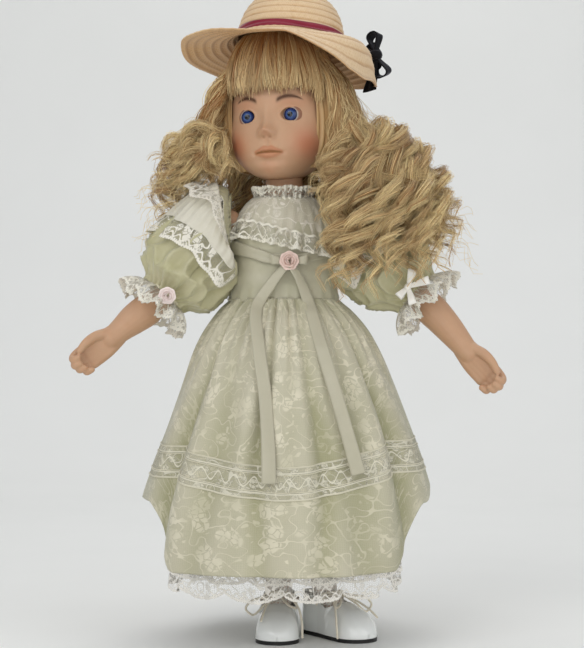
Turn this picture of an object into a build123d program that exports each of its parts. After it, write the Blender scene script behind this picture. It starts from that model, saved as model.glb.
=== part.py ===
from build123d import *

import math
import os

# A dressed porcelain doll, about 425 mm tall with its hat, standing on z = 0 and facing -Y.
# +X is the doll's left. All lengths are in millimetres and all angles in degrees.

# ---------------------------------------------------------------- driving dimensions
GAP = 0.3                      # working clearance between a moving piece and its neighbour
FIT = 0.1                      # clearance between two pieces that stay together
CLOTH = 0.7                    # thickness given to one layer of sewn cloth

HEAD_TURN = -15.5              # the head looks a little towards the doll's right
HEAD_CENTRE = (0.0, -2.0, 340.0)
HEAD_RADIUS, HEAD_HALF_HEIGHT = 34.0, 42.5
HEAD_WALL = 3.0
PATE_HEIGHT = 364.0            # level of the cut across the crown of the head
EYE_SPACING = 28.6
EYE_HEIGHT = 339.0
EYE_DEPTH = -24.0
EYE_RADIUS = 7.0

NECK_RADIUS = 13.0
NECK_BALL_RADIUS = 13.5
NECK_BALL_HEIGHT = 298.0
CUP_WALL = 2.5
BOLT_RADIUS = 2.0
BOLT_CLEARANCE = 0.05

SHOULDER = (36.0, 0.0, 272.0)  # left shoulder pivot; the right one mirrors it
RIGHT_ELBOW = (-81.0, -12.0, 221.0)
RIGHT_FINGERTIP = (-135.0, -34.0, 176.5)
LEFT_ELBOW = (89.0, -12.0, 223.0)
LEFT_FINGERTIP = (139.0, -34.0, 163.0)
UPPER_ARM_RADIUS = 9.0
ELBOW_BALL_RADIUS = 8.0
FOREARM_RADIUS = 10.5
WRIST_RADIUS = 7.4
HAND_LENGTH = 34.0
WIRE_RADIUS = 1.0

HIP_X, HIP_HEIGHT = 15.0, 186.0
HIP_BALL_RADIUS = 12.0
LEG_LEAN = 12.0                # both legs lean this far towards the doll's left over their length
ANKLE_HEIGHT = 28.0
ANKLE_Y = 4.0
KNEE_HEIGHT = 118.0
RIGHT_TOE_OUT, LEFT_TOE_OUT = 2.0, 38.0
SOLE_THICKNESS = 2.5
SHOE_LENGTH, SHOE_WIDTH = 62.0, 27.0

BODY_DEPTH = 0.76              # depth of the torso and bodice as a share of their width
ARMHOLE_X = 34.5               # sleeves start this far out from the body's axis
WAIST_HEIGHT = 221.0
HAT_SEAT = (0.0, 4.0, 379.0)   # centre of the circle where the hat's crown meets its brim
HAT_TILT = 9.0                 # the hat sits back on the head, front edge up
HAT_CROWN_RADIUS = 36.5
HAT_CROWN_RISE = 44.0
HAT_BRIM_RADIUS = 67.0
STRAW = 1.6

# Half-widths by height, from top to bottom, of the worn shapes of revolution.
TORSO = [(12.0, 262.0), (24.0, 259.0), (26.0, 250.0), (25.0, 228.0), (27.0, 205.0), (27.0, 188.0)]
BODICE = [(23.0, 286.0), (26.5, 280.5), (31.5, 270.0), (33.0, 255.0), (31.0, 236.0), (29.5, WAIST_HEIGHT)]
SKIRT = [(31.0, WAIST_HEIGHT), (43.0, 206.0), (62.0, 165.0), (80.0, 118.0), (92.0, 54.0)]
PETTICOAT = [(30.0, 219.0), (38.0, 198.0), (54.0, 150.0), (66.0, 90.0), (72.0, 36.0)]


# ---------------------------------------------------------------- shared helpers
def egg(centre, along, across, turn=(0, 0, 0)):
    """A spheroid: half-length along its own Z, radius across it, turned by the given angles."""
    x, y = across * math.sqrt(0.5), along * math.sqrt(0.5)
    arc = Spline((0, along), (x, y), (across, 0), (x, -y), (0, -along), tangents=[(1, 0), (-1, 0)])
    half = make_face([arc.edge(), Line((0, -along), (0, along)).edge()])
    return Pos(*centre) * Rot(*turn) * revolve(Plane.XZ * half, axis=Axis.Z)


def ball(centre, radius):
    return Pos(*centre) * Sphere(radius)


def rod(start, end, radius, end_radius=None):
    """A straight round bar, tapered if end_radius is given."""
    a, b = Vector(*start), Vector(*end)
    frame = Plane(origin=(a + b) / 2, z_dir=b - a)
    length = (b - a).length
    if end_radius is None:
        return frame.location * Cylinder(radius, length)
    return frame.location * Cone(radius, end_radius, length)


def lathe(points, depth=1.0):
    """Turns a closed outline of (radius, height) points about Z, then flattens it front to back."""
    face = make_face(Polyline(*points, close=True))
    solid = revolve(Plane.XZ * face, axis=Axis.Z)
    return scale(solid, by=(1, depth, 1)) if depth != 1.0 else solid


def radius_at(profile, height):
    """The half-width of a profile at a height, on the straight line between its points."""
    for (r1, z1), (r2, z2) in zip(profile, profile[1:]):
        if z1 >= height >= z2:
            return r1 + (r2 - r1) * (z1 - height) / (z1 - z2)
    raise ValueError("height is outside the profile")


def stretch(profile, top, bottom):
    """The part of a profile between two heights."""
    inside = [p for p in profile if top > p[1] > bottom]
    return [(radius_at(profile, top), top), *inside, (radius_at(profile, bottom), bottom)]


def layer(profile, out, thickness, depth=1.0):
    """One layer of cloth that follows a profile, starting out millimetres outside it."""
    inner = [(r + out, z) for r, z in profile]
    outer = [(r + out + thickness, z) for r, z in reversed(profile)]
    return lathe(inner + outer, depth)


def filled(profile, out, depth=1.0):
    """The solid of revolution inside a profile, grown by out millimetres."""
    (_, top), (_, bottom) = profile[0], profile[-1]
    return lathe([(0, top), *[(r + out, z) for r, z in profile], (0, bottom)], depth)


def cord(path, radius):
    """A round cord along a smooth path."""
    return sweep(Plane(origin=path @ 0, z_dir=path % 0) * Circle(radius), path=path)


def write(shape, name):
    export_step(shape, f"parts/{name}.step")


def mirrored(side, point):
    """A point given for the doll's left, on the side asked for: +1 left, -1 right."""
    x, y, z = point
    return (side * x, y, z)


# ---------------------------------------------------------------- head
def head_form(inset):
    """The head's outer or inner surface as a solid, inset from the skin."""
    x, y, z = HEAD_CENTRE
    skull = egg((x, y, z), HEAD_HALF_HEIGHT - inset, HEAD_RADIUS - inset)
    return skull + ball((x, y - 3.0, z - 12.0), 30.5 - inset)


def eye_place(side):
    return (side * EYE_SPACING / 2, EYE_DEPTH, EYE_HEIGHT)


def ears(grow):
    left, right = (egg((side * 33.5, 1.0, 336.0), 4.0 + grow, 7.5 + grow, (0, 90, 0)) for side in (-1, 1))
    return left + right


def head():
    neck = rod((0, 0, NECK_BALL_HEIGHT), (0, 0, NECK_BALL_HEIGHT + 18), NECK_RADIUS)
    neck += ball((0, 0, NECK_BALL_HEIGHT), NECK_BALL_RADIUS)
    nose = ball((0, -34.5, 327.0), 4.2)
    chin = ball((0, -23.5, 303.5), 7.5)
    skin = head_form(0) + neck + nose + chin + ears(0)
    hollow = head_form(HEAD_WALL)
    hollow += ball((0, 0, NECK_BALL_HEIGHT), NECK_BALL_RADIUS - HEAD_WALL)
    hollow += rod((0, 0, NECK_BALL_HEIGHT), (0, 0, NECK_BALL_HEIGHT + 20), NECK_RADIUS - HEAD_WALL)
    shell = skin - hollow
    shell -= Pos(0, 0, PATE_HEIGHT + 40) * Box(120, 120, 80)
    shell -= rod((0, 0, 280), (0, 0, 292), BOLT_RADIUS + BOLT_CLEARANCE)
    for side in (-1, 1):
        x, y, z = eye_place(side)
        shell -= ball((x, y, z), EYE_RADIUS + FIT)
        shell -= rod((x, y, z), (x, y - 20, z), 5.2)
    return main_solid(shell)


def pate():
    """The card dome that closes the crown, sitting on the cut edge of the head."""
    dome = head_form(0.3) - head_form(2.0)
    return main_solid(dome - Pos(0, 0, PATE_HEIGHT + FIT - 60) * Box(120, 120, 120))


def eye(side):
    return ball(eye_place(side), EYE_RADIUS)


def eye_plaster():
    """The bed of plaster that holds both eyes from behind."""
    bed = Pos(0, EYE_DEPTH + 5.0, EYE_HEIGHT) * Box(EYE_SPACING + 16, 8.0, 16)
    for side in (-1, 1):
        bed -= ball(eye_place(side), EYE_RADIUS + FIT)
    return main_solid(bed & head_form(HEAD_WALL + FIT))


def face_opening(grow):
    return Pos(0, -40, 320) * Box(50 + 2 * grow, 60, 68 + 2 * grow)


def wig_cap():
    """The stretch net the hair is sewn to, over the crown and the back of the head."""
    cap = head_form(-1.2) - head_form(-0.3)
    cap -= face_opening(1.0) + ears(1.0)
    return main_solid(cap - Pos(0, 0, 292) * Box(120, 120, 60))


def wig_crown():
    """Hair on the head, with its fringe: open over the face and at the nape."""
    hair = egg((0, 0, 338), 48.0, 46.0) - head_form(-1.6)
    hair -= Pos(0, 0, 270) * Box(160, 160, 80)
    hair -= rod((0, 0, 300), (0, 0, 322), NECK_RADIUS + 8)
    return main_solid(hair - face_opening(0) - ears(1.0))


# ---------------------------------------------------------------- hat
def on_hat(shape):
    """Moves a piece drawn about the hat's own axis to where the hat sits."""
    return Pos(*HAT_SEAT) * Rot(-HAT_TILT, 0, 0) * shape


def hat_straw():
    """Braided straw crown and brim, as one turned shell."""
    r, rise = HAT_CROWN_RADIUS, HAT_CROWN_RISE
    outer = [(0, rise), (15, rise - 1), (26, rise - 6), (32, rise - 14), (35, rise - 25), (r, STRAW),
             (HAT_BRIM_RADIUS, STRAW - 2)]
    inner = [(HAT_BRIM_RADIUS, -2), (r - STRAW, 0), (35 - STRAW, rise - 25), (32 - STRAW, rise - 14.5),
             (25.3, rise - 7.4), (14.7, rise - STRAW - 1), (0, rise - STRAW)]
    return on_hat(lathe(outer + inner))


def hat_band():
    """The ribbon round the foot of the hat's crown."""
    r, low = HAT_CROWN_RADIUS + 0.3, STRAW + 0.4
    return on_hat(lathe([(r, low), (r + 0.6, low), (r + 0.1, low + 9), (r - 0.5, low + 9)]))


def hat_bow():
    """A ribbon bow on the brim at the doll's left and back: two loops, a knot and two tails."""
    bow = ball((0, 0, 4), 3.4)
    for side in (-1, 1):
        bow += egg((side * 7.0, 0, 5), 8.0, 4.2, (0, 90, 0))
        bow += rod((0, 0, 3), (side * 9, 8, 1.8), 1.6)
    return on_hat(Pos(50.0, 20.0, 1.2) * Rot(0, 0, 65) * bow)


# ---------------------------------------------------------------- torso and neck joint
def shoulder_strip(half):
    """The bent steel strip across the shoulders, from pivot to pivot, given half its width."""
    x, _, z = SHOULDER
    bend, foot = 22.0, 255.0
    path = Polyline((-x, z), (-bend, foot), (bend, foot), (x, z))
    return extrude(Plane.XZ * trace(path, 2 * half), half, both=True)


def shoulder_wire():
    """Armature strip across the shoulders, with a round eye at each shoulder pivot."""
    bar = shoulder_strip(WIRE_RADIUS)
    for side in (-1, 1):
        place = Pos(*mirrored(side, SHOULDER)) * Rot(90, 0, 0)
        bar = bar + place * Cylinder(3.6, 2 * WIRE_RADIUS) - place * Cylinder(1.55, 8)
    return main_solid(bar)


def body_keep_out(grow):
    """Room the torso leaves for the two thighs and the armature."""
    room = shoulder_strip(WIRE_RADIUS + grow)
    for side in (-1, 1):
        room += ball((side * HIP_X, 0, HIP_HEIGHT), HIP_BALL_RADIUS + GAP + grow)
    return room


def torso_cover():
    """The sewn cloth skin of the body."""
    return filled(TORSO, 0, BODY_DEPTH) - torso_inside(1.0) - body_keep_out(FIT)


def torso_inside(skin):
    points = [(r - skin, z) for r, z in TORSO]
    points[0] = (points[0][0], TORSO[0][1] - skin)
    points[-1] = (points[-1][0], TORSO[-1][1] + skin)
    return filled(points, 0, BODY_DEPTH) - body_keep_out(skin)


def torso_stuffing():
    """The fibre filling, as one block inside the cloth skin."""
    return torso_inside(1.0 + FIT)


def shoulder_plate():
    """The bisque plate with the cup the neck sits in, arched out for the arms."""
    dome = [(14.5, 286.0), (22.5, 279.0), (28.0, 266.0), (29.4, 254.0)]
    plate = layer(dome, -2.4, 2.4, BODY_DEPTH)
    cup = ball((0, 0, NECK_BALL_HEIGHT), NECK_BALL_RADIUS + FIT + CUP_WALL)
    cup -= Pos(0, 0, 291 + 40) * Box(90, 90, 80)
    plate = plate + cup
    plate -= ball((0, 0, NECK_BALL_HEIGHT), NECK_BALL_RADIUS + FIT)
    plate -= rod((0, 0, 275), (0, 0, 290), BOLT_RADIUS + BOLT_CLEARANCE) + shoulder_strip(WIRE_RADIUS + GAP)
    for side in (-1, 1):
        plate -= ball(mirrored(side, SHOULDER), UPPER_ARM_RADIUS + 3)
    return main_solid(plate)


def neck_bolt():
    """The bolt that holds the neck ball down in its cup."""
    shaft = rod((0, 0, 264.5), (0, 0, 290.0), BOLT_RADIUS)
    return shaft + Pos(0, 0, 290.4) * Cylinder(4.0, 2.2)


def neck_spring():
    """Compression spring between the cup and the nut."""
    coil_radius, wire, pitch, turns = 3.6, 0.5, 2.4, 4
    path = Pos(0, 0, 270.0) * Helix(pitch=pitch, height=pitch * turns, radius=coil_radius)
    return cord(path, wire)


def neck_nut():
    """Wing nut under the spring."""
    hub = Pos(0, 0, 267.4) * Cylinder(4.2, 3.0)
    for side in (-1, 1):
        hub += Pos(side * 6.0, 0, 267.6) * Box(5.5, 1.6, 2.8)
    return hub - rod((0, 0, 260), (0, 0, 275), BOLT_RADIUS + FIT)


# ---------------------------------------------------------------- arms
def arm_frames(side):
    """Shoulder and elbow frames: each has +Z along its bone, and the palm faces forward."""
    elbow = Vector(*(LEFT_ELBOW if side > 0 else RIGHT_ELBOW))
    tip = Vector(*(LEFT_FINGERTIP if side > 0 else RIGHT_FINGERTIP))
    shoulder = Vector(*mirrored(side, SHOULDER))
    across = Vector(0, 1, 0)
    upper = Plane(origin=shoulder, x_dir=across.cross(elbow - shoulder), z_dir=elbow - shoulder)
    lower = Plane(origin=elbow, x_dir=across.cross(tip - elbow), z_dir=tip - elbow)
    return upper.location, lower.location, (elbow - shoulder).length, (tip - elbow).length


def upper_arm(side):
    """Stuffed cloth upper arm, slotted at the shoulder for the armature."""
    upper, _, length, _ = arm_frames(side)
    arm = Sphere(UPPER_ARM_RADIUS) + Sphere(ELBOW_BALL_RADIUS).moved(Pos(0, 0, length))
    arm += Pos(0, 0, length / 2) * Cone(UPPER_ARM_RADIUS, ELBOW_BALL_RADIUS, length)
    arm -= Pos(0, 0, length / 2) * Cylinder(WIRE_RADIUS + FIT, length)
    arm = upper * arm
    x, y, z = mirrored(side, SHOULDER)
    arm -= Pos(x, y, z) * Rot(90, 0, 0) * Cylinder(6.6, 7.4)
    return main_solid(arm - Pos(x - side * 8, y, z - 3) * Box(16, 7.4, 22))


def arm_wire(side):
    """Armature wire of the upper arm: a fork and pin through the eye of the shoulder wire."""
    upper, _, length, _ = arm_frames(side)
    wire = upper * Pos(0, 0, (5 + length - 4) / 2) * Cylinder(WIRE_RADIUS, length - 9)
    elbow = Vector(*(LEFT_ELBOW if side > 0 else RIGHT_ELBOW))
    shoulder = Vector(*mirrored(side, SHOULDER))
    outward = Vector(elbow.X - shoulder.X, 0, elbow.Z - shoulder.Z)
    hinge = Plane(origin=shoulder, x_dir=Vector(0, 1, 0), z_dir=outward).location
    fork = Pos(0, 0, 5.1) * Box(5.4, 2.4, 1.0)
    for s in (-1, 1):
        fork += Pos(s * 2.1, 0, 2.4) * Box(1.2, 2.4, 6.0)
    return wire + hinge * (fork + Rot(0, 90, 0) * Cylinder(1.5, 5.4))


def forearm(side):
    """Bisque forearm and hand in one piece, hollow from a dished top that turns on the elbow."""
    _, lower, _, length = arm_frames(side)
    wrist = length - HAND_LENGTH
    arm = lathe([(0, 6.4), (9.6, 6.4), (FOREARM_RADIUS, 9), (FOREARM_RADIUS, 16), (9.0, wrist * 0.75),
                 (WRIST_RADIUS, wrist), (WRIST_RADIUS, wrist + 3), (0, wrist + 3)])
    palm = egg((0, 0, wrist + 12), 5.4, 10.8, (90, 0, 0))
    fingers = egg((0.5, -2.5, length - 10), 4.8, 9.6, (80, 0, 0))
    thumb = egg((8.5, -3.5, wrist + 12), 9.0, 2.9, (0, 28, 0))
    hand = arm + palm + fingers + thumb
    hand -= Sphere(ELBOW_BALL_RADIUS + GAP)
    hand -= Pos(0, 0, 14) * Cylinder(4.6, 26)
    return lower * hand


def sleeve(side):
    """Puffed sleeve from the armhole to the cuff, hollow round the arm."""
    upper, _, length, _ = arm_frames(side)
    puff = [(16, 3), (25, 12), (29, 26), (28.5, 42), (23, 56), (13.5, length - 4)]
    inside = [(r - CLOTH, z) for r, z in puff]
    shell = upper * lathe(puff + inside[::-1])
    return main_solid(shell - Pos(0, 0, 250) * Box(2 * ARMHOLE_X, 140, 160))


def cuff_lace(side):
    """Gathered lace frill below the sleeve's elastic."""
    upper, _, length, _ = arm_frames(side)
    start = length - 3.4
    rings = [(12.8, start), (20, start + 5), (27, start + 10)]
    inside = [(r - CLOTH, z) for r, z in rings]
    return upper * lathe(rings + inside[::-1])


def cuff_bow(side):
    """Small ribbon bow sewn to the front of the cuff."""
    upper, _, length, _ = arm_frames(side)
    bow = ball((0, 0, 0), 2.2)
    for s in (-1, 1):
        bow += egg((0, s * 4.6, 0.6), 4.6, 2.0, (90, 0, 0))
    return upper * Pos(0, -25.0, length - 6.0) * Rot(0, 0, 90) * bow


def flounce(side):
    """Lace-edged frill that stands over the top of the sleeve."""
    upper, _, _, _ = arm_frames(side)
    puff = [(17.5, 3), (26.5, 12), (30.5, 26), (30.2, 37)]
    inside = [(r + CLOTH, z) for r, z in puff]
    shell = upper * lathe(puff + inside[::-1])
    return main_solid(shell - Pos(0, 0, 250) * Box(2 * ARMHOLE_X, 140, 160))


def main_solid(shape):
    """The largest solid left after a cut."""
    return max(shape.solids(), key=lambda s: s.volume)


# ---------------------------------------------------------------- dress
def armholes(radius):
    cut = None
    for side in (-1, 1):
        x, y, z = mirrored(side, SHOULDER)
        tube = Pos(x, y, z) * Rot(0, 90, 0) * Cylinder(radius, 34)
        cut = tube if cut is None else cut + tube
    return cut


def bodice():
    return layer(BODICE, -CLOTH, CLOTH, BODY_DEPTH) - armholes(13.0)


def collar_lace():
    """The lace yoke laid over the top of the bodice."""
    return layer(stretch(BODICE, 285.5, 262.0), 0.4, CLOTH, BODY_DEPTH + 0.01) - armholes(12.0)


def neck_lace():
    """The narrow gathered edging that stands round the neck."""
    return lathe([(18.2, 286.6), (18.9, 286.6), (19.6, 294.5), (18.9, 294.5)])


def waist_ribbon():
    """Satin ribbon round the ribs, sewn at the side seams and caught under the rose."""
    band = layer(stretch(BODICE, 251.0, 243.0), 0.5, 0.6, BODY_DEPTH + 0.02)
    return band


def ribbon_rose():
    """Folded ribbon rose on the front of the bodice."""
    y = -(radius_at(BODICE, 246.0) + 2.4) * (BODY_DEPTH + 0.02) - 3.4
    return egg((0, y, 246.0), 3.4, 6.0, (90, 0, 0))


def ribbon_tails():
    """The two long ribbon ends that hang from the rose over the skirt."""
    tails = None
    for side, spread in ((-1, 9.0), (1, 46.0)):
        path = [Vector(side * 4.0, -33.0, 238.5)]
        for share, height in ((0.25, 206.0), (0.6, 165.0), (1.0, 112.0)):
            reach = radius_at(SKIRT, height) + 5.5
            x = side * spread * share
            path.append(Vector(x, -math.sqrt(reach * reach - x * x), height))
        for a, b in zip(path, path[1:]):
            plane = Plane(origin=(a + b) / 2, x_dir=Vector(1, 0, 0), z_dir=b - a)
            piece = plane.location * Box(9.0, 0.7, (b - a).length + 0.6)
            tails = piece if tails is None else tails + piece
    return tails


def skirt_satin():
    return layer(SKIRT, -2.4, CLOTH)


def skirt_lace():
    return layer(SKIRT, -1.0, CLOTH)


def skirt_band():
    """The insertion of wider lace round the skirt."""
    return layer(stretch(SKIRT, 122.0, 104.0), 0.2, CLOTH)


def petticoat():
    return layer(stretch(PETTICOAT, 219.0, 52.0), -CLOTH, CLOTH)


def petticoat_lace():
    """The wide scalloped edging sewn under the petticoat's hem."""
    return layer(stretch(PETTICOAT, 51.7, 36.0), -CLOTH, CLOTH)


def snaps():
    """Three press studs down the back opening of the bodice, each pair as one solid."""
    studs = []
    for height in (232.0, 250.0, 266.0):
        y = (radius_at(BODICE, height) + 2.0) * (BODY_DEPTH + 0.03)
        studs.append(Pos(0, y + 1.2, height) * Rot(90, 0, 0) * Cylinder(2.6, 1.4))
    return Compound(children=[s.solid() for s in studs])


# ---------------------------------------------------------------- legs
def hip_point(side):
    return Vector(side * HIP_X, 0, HIP_HEIGHT)


def ankle_point(side):
    return Vector(side * HIP_X + LEG_LEAN, ANKLE_Y, ANKLE_HEIGHT)


def leg_frame(side):
    """A frame at the hip with +Z down the leg."""
    down = ankle_point(side) - hip_point(side)
    return Plane(origin=hip_point(side), x_dir=Vector(1, 0, 0), z_dir=down).location, down.length


def foot_frame(side):
    """A frame on the floor under the ankle, with -Y towards the toe."""
    toe_out = LEFT_TOE_OUT if side > 0 else -RIGHT_TOE_OUT
    ankle = ankle_point(side)
    return Pos(ankle.X, ankle.Y, 0) * Rot(0, 0, toe_out)


def along_leg(height):
    """Distance down the leg from the hip to a height above the floor."""
    return (HIP_HEIGHT - height) * math.hypot(1, LEG_LEAN / (HIP_HEIGHT - ANKLE_HEIGHT))


def thigh(side):
    """Stuffed cloth thigh with a socket for the top of the bisque leg."""
    frame, _ = leg_frame(side)
    knee = along_leg(KNEE_HEIGHT)
    leg = Sphere(HIP_BALL_RADIUS) + Pos(0, 0, knee / 2) * Cone(HIP_BALL_RADIUS, 11.0, knee)
    return frame * (leg - Pos(0, 0, knee) * Cylinder(8.0 + FIT, 24))


def outline(grow):
    """The shoe's plan on the floor: a round heel and a wider round toe joined by their tangents."""
    heel = Pos(0, 5.5) * Circle(10.5 + grow)
    toe = Pos(0, 17 - SHOE_LENGTH + SHOE_WIDTH / 2) * Circle(SHOE_WIDTH / 2 + grow)
    return make_hull([*heel.edges(), *toe.edges()])


def block(grow, low, high):
    """The plan, grown and raised between two heights."""
    return Pos(0, 0, low) * extrude(outline(grow), high - low)


def above_vamp(lift):
    """The space over a plane that falls from the instep to the toe."""
    return Pos(0, -30, 22.5 + lift) * Rot(10, 0, 0) * Pos(0, 0, 30) * Box(80, 110, 60)


def foot_form(grow):
    """Foot below the ankle on the floor frame, grown outwards."""
    return block(-2.6 + grow, 3.6 - grow, 24) - above_vamp(grow - 2.4)


def calf_form(side, grow, top):
    """The ankle and calf as a turned shape down the leg's axis, up to a height."""
    frame, _ = leg_frame(side)
    calf = [(10.5, KNEE_HEIGHT - FIT), (11.0, 96.0), (8.6, 56.0), (7.2, 36.0), (7.6, 12.0)]
    points = [(r + grow, along_leg(z)) for r, z in (calf if top > 90 else stretch(calf, top, 12.0))]
    return frame * lathe([(0, points[0][1]), *points, (0, points[-1][1])])


def lower_leg(side):
    """Bisque lower leg and foot, with the stub that the cloth thigh is tied on."""
    frame, _ = leg_frame(side)
    stub = frame * Pos(0, 0, along_leg(KNEE_HEIGHT + 5)) * Cylinder(8.0, 12)
    return calf_form(side, 0, KNEE_HEIGHT) + stub + foot_frame(side) * foot_form(0)


def sock(side):
    """Lace ankle sock."""
    outside = calf_form(side, CLOTH + FIT, 48.0) + foot_frame(side) * foot_form(CLOTH + FIT)
    return main_solid(outside - calf_form(side, FIT, 60.0) - foot_frame(side) * foot_form(FIT))


def shoe_sole(side):
    return foot_frame(side) * block(0.6, 0, SOLE_THICKNESS)


def shoe_upper(side):
    """Leatherette upper with a high quarter at the heel and an open throat."""
    shape = block(0, SOLE_THICKNESS + FIT, 28) - above_vamp(0)
    shape += (block(0, SOLE_THICKNESS + FIT, 27) & Pos(0, 12, 20) * Box(40, 34, 40))
    shape -= Pos(0, -9, 27) * Rot(90, 0, 0) * Cylinder(3.2, 60).rotate(Axis.Z, 90)
    shape -= Pos(0, -14, 20) * Box(12, 26, 30)
    shape = foot_frame(side) * (shape - foot_form(1.1))
    return main_solid(shape - calf_form(side, 1.1, 60.0) - eyelet_holes(side))


def eyelet_spots(side):
    return [foot_frame(side) * Pos(s * 11.4, 2.0, 23.0) * Rot(0, 90, 0) for s in (-1, 1)]


def eyelet_holes(side):
    first, second = (spot * Cylinder(1.9, 12) for spot in eyelet_spots(side))
    return first + second


def shoe_eyelets(side):
    """One metal eyelet through each side of the quarter."""
    tube = Cylinder(1.8, 3.0) - Cylinder(1.2, 4.0)
    return Compound(children=[(spot * tube).solid() for spot in eyelet_spots(side)])


def shoe_lace(side):
    """Cotton cord tied in front of the ankle, with two loops and two hanging ends."""
    knot = (0, -16.5, 30.0)
    lace = ball(knot, 2.0)
    for s in (-1, 1):
        lace += cord(Spline(knot, (s * 8.0, -13.0, 30.6), (s * 12.6, -4.0, 29.6)), 0.8)
        lace += cord(Spline(knot, (s * 7, -22, 30.0), (s * 11, -27, 28.0), (s * 10, -33, 26.0)), 0.8)
    return foot_frame(side) * lace


# ---------------------------------------------------------------- hair that lies on the shoulders
def ringlets(paths, radius):
    """Fat curls, each a chain of straight lengths, joined side by side into one mass."""
    mass = None
    for path in paths:
        for start, end in zip(path, path[1:]):
            curl = rod(start, end, radius) + ball(start, 1.05 * radius) + ball(end, 1.05 * radius)
            mass = curl if mass is None else mass + curl
    return mass


def hair_left():
    """The long curls in front of the doll's left shoulder."""
    return ringlets([[(34, -58, 304), (34, -58, 236)], [(47, -58, 309), (49, -60, 226)],
                     [(60, -55, 309), (64, -59, 224)], [(72, -50, 302), (79, -58, 230)],
                     [(83, -44, 296), (94, -56, 244)], [(94, -34, 290), (106, -50, 258)]], 8.5)


def hair_right():
    """The shorter curls in front of the doll's right shoulder."""
    return ringlets([[(-36, -56, 308), (-38, -58, 276)], [(-49, -54, 310), (-54, -58, 274)],
                     [(-62, -48, 306), (-70, -54, 272)], [(-74, -40, 300), (-80, -50, 278)]], 8.5)


def hair_back():
    """The curls down the back."""
    return ringlets([[(x, 46 - abs(x) / 6, 296), (x * 1.15, 50 - abs(x) / 6, 238)]
                     for x in (-36, -24, -12, 0, 12, 24, 36)], 8.0)


# ---------------------------------------------------------------- everything, by node name
def turned(shape):
    """Puts a head piece, modelled looking along -Y, where the turned head holds it."""
    return Rot(0, 0, HEAD_TURN) * shape


def pieces():
    for name, shape in {
        "head": head(), "crown_pate": pate(), "wig_cap": wig_cap(), "wig_crown": wig_crown(),
        "right_eye": eye(-1), "left_eye": eye(1), "eye_plaster": eye_plaster(),
        "neck_bolt": neck_bolt(), "neck_spring": neck_spring(), "neck_nut": neck_nut(),
        "straw_hat": hat_straw(), "hat_band": hat_band(), "hat_bow": hat_bow(),
    }.items():
        yield name, turned(shape)
    yield from {
        "shoulder_plate": shoulder_plate(), "shoulder_wire": shoulder_wire(),
        "torso_cover": torso_cover(), "torso_stuffing": torso_stuffing(),
        "bodice": bodice(), "collar_lace": collar_lace(), "neck_lace": neck_lace(),
        "waist_ribbon": waist_ribbon(), "ribbon_rose": ribbon_rose(), "ribbon_tails": ribbon_tails(),
        "skirt_satin": skirt_satin(), "skirt_lace": skirt_lace(), "skirt_band": skirt_band(),
        "petticoat": petticoat(), "petticoat_lace": petticoat_lace(), "dress_snaps": snaps(),
        "hair_back": hair_back(), "hair_left": hair_left(), "hair_right": hair_right(),
    }.items()
    for side, word in ((-1, "right"), (1, "left")):
        yield f"{word}_upper_arm", upper_arm(side)
        yield f"{word}_arm_wire", arm_wire(side)
        yield f"{word}_forearm", forearm(side)
        yield f"{word}_sleeve", sleeve(side)
        yield f"{word}_cuff_lace", cuff_lace(side)
        yield f"{word}_cuff_bow", cuff_bow(side)
        yield f"{word}_flounce", flounce(side)
        yield f"{word}_thigh", thigh(side)
        yield f"{word}_lower_leg", lower_leg(side)
        yield f"{word}_sock", sock(side)
        yield f"{word}_shoe_upper", shoe_upper(side)
        yield f"{word}_shoe_sole", shoe_sole(side)
        yield f"{word}_shoe_eyelets", shoe_eyelets(side)
        yield f"{word}_shoe_lace", shoe_lace(side)


os.makedirs("parts", exist_ok=True)
for node, solid in pieces():
    write(solid, node)
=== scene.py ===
import math

import bpy
import numpy as np
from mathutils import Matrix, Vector


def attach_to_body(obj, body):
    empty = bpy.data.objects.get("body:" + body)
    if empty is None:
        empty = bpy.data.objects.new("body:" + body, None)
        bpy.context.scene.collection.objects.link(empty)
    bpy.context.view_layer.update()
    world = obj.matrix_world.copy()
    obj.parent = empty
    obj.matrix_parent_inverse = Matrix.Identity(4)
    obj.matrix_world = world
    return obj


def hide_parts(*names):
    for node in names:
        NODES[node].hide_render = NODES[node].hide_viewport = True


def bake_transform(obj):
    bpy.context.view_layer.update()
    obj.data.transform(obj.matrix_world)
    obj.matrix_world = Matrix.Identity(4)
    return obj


# The looks of a dressed porcelain doll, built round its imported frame.
# Shapes are worked out in millimetres and written to Blender in metres.

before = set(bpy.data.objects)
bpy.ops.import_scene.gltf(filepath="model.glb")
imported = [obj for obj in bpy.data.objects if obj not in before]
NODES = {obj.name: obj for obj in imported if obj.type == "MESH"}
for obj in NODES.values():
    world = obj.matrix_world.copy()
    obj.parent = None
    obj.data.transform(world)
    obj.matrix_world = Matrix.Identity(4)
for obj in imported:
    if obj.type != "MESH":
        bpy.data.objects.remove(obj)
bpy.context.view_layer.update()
TAU = 2 * math.pi
MM = 0.001

HEAD_TURN = math.radians(-15.5)
HEAD_ROLL = math.radians(2.2)
HEAD_PIVOT = np.array([0.0, 0.0, 300.0])
EYE_X, EYE_Y, EYE_Z, EYE_R = 14.3, -25.2, 339.0, 7.0
SHOULDERS = {"right": (-36.0, 0.0, 272.0), "left": (36.0, 0.0, 272.0)}
ELBOWS = {"right": (-81.0, -12.0, 221.0), "left": (89.0, -12.0, 223.0)}
TIPS = {"right": (-135.0, -34.0, 176.5), "left": (139.0, -34.0, 163.0)}
SIDE = {"right": -1.0, "left": 1.0}


# ------------------------------------------------------------------ numbers
def lin(r, g, b):
    """A colour given as 0-255 screen values, as the linear values that shaders use."""
    out = []
    for c in (r, g, b):
        c = c / 255
        out.append(c / 12.92 if c <= 0.04045 else ((c + 0.055) / 1.055) ** 2.4)
    return (*out, 1.0)


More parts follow.
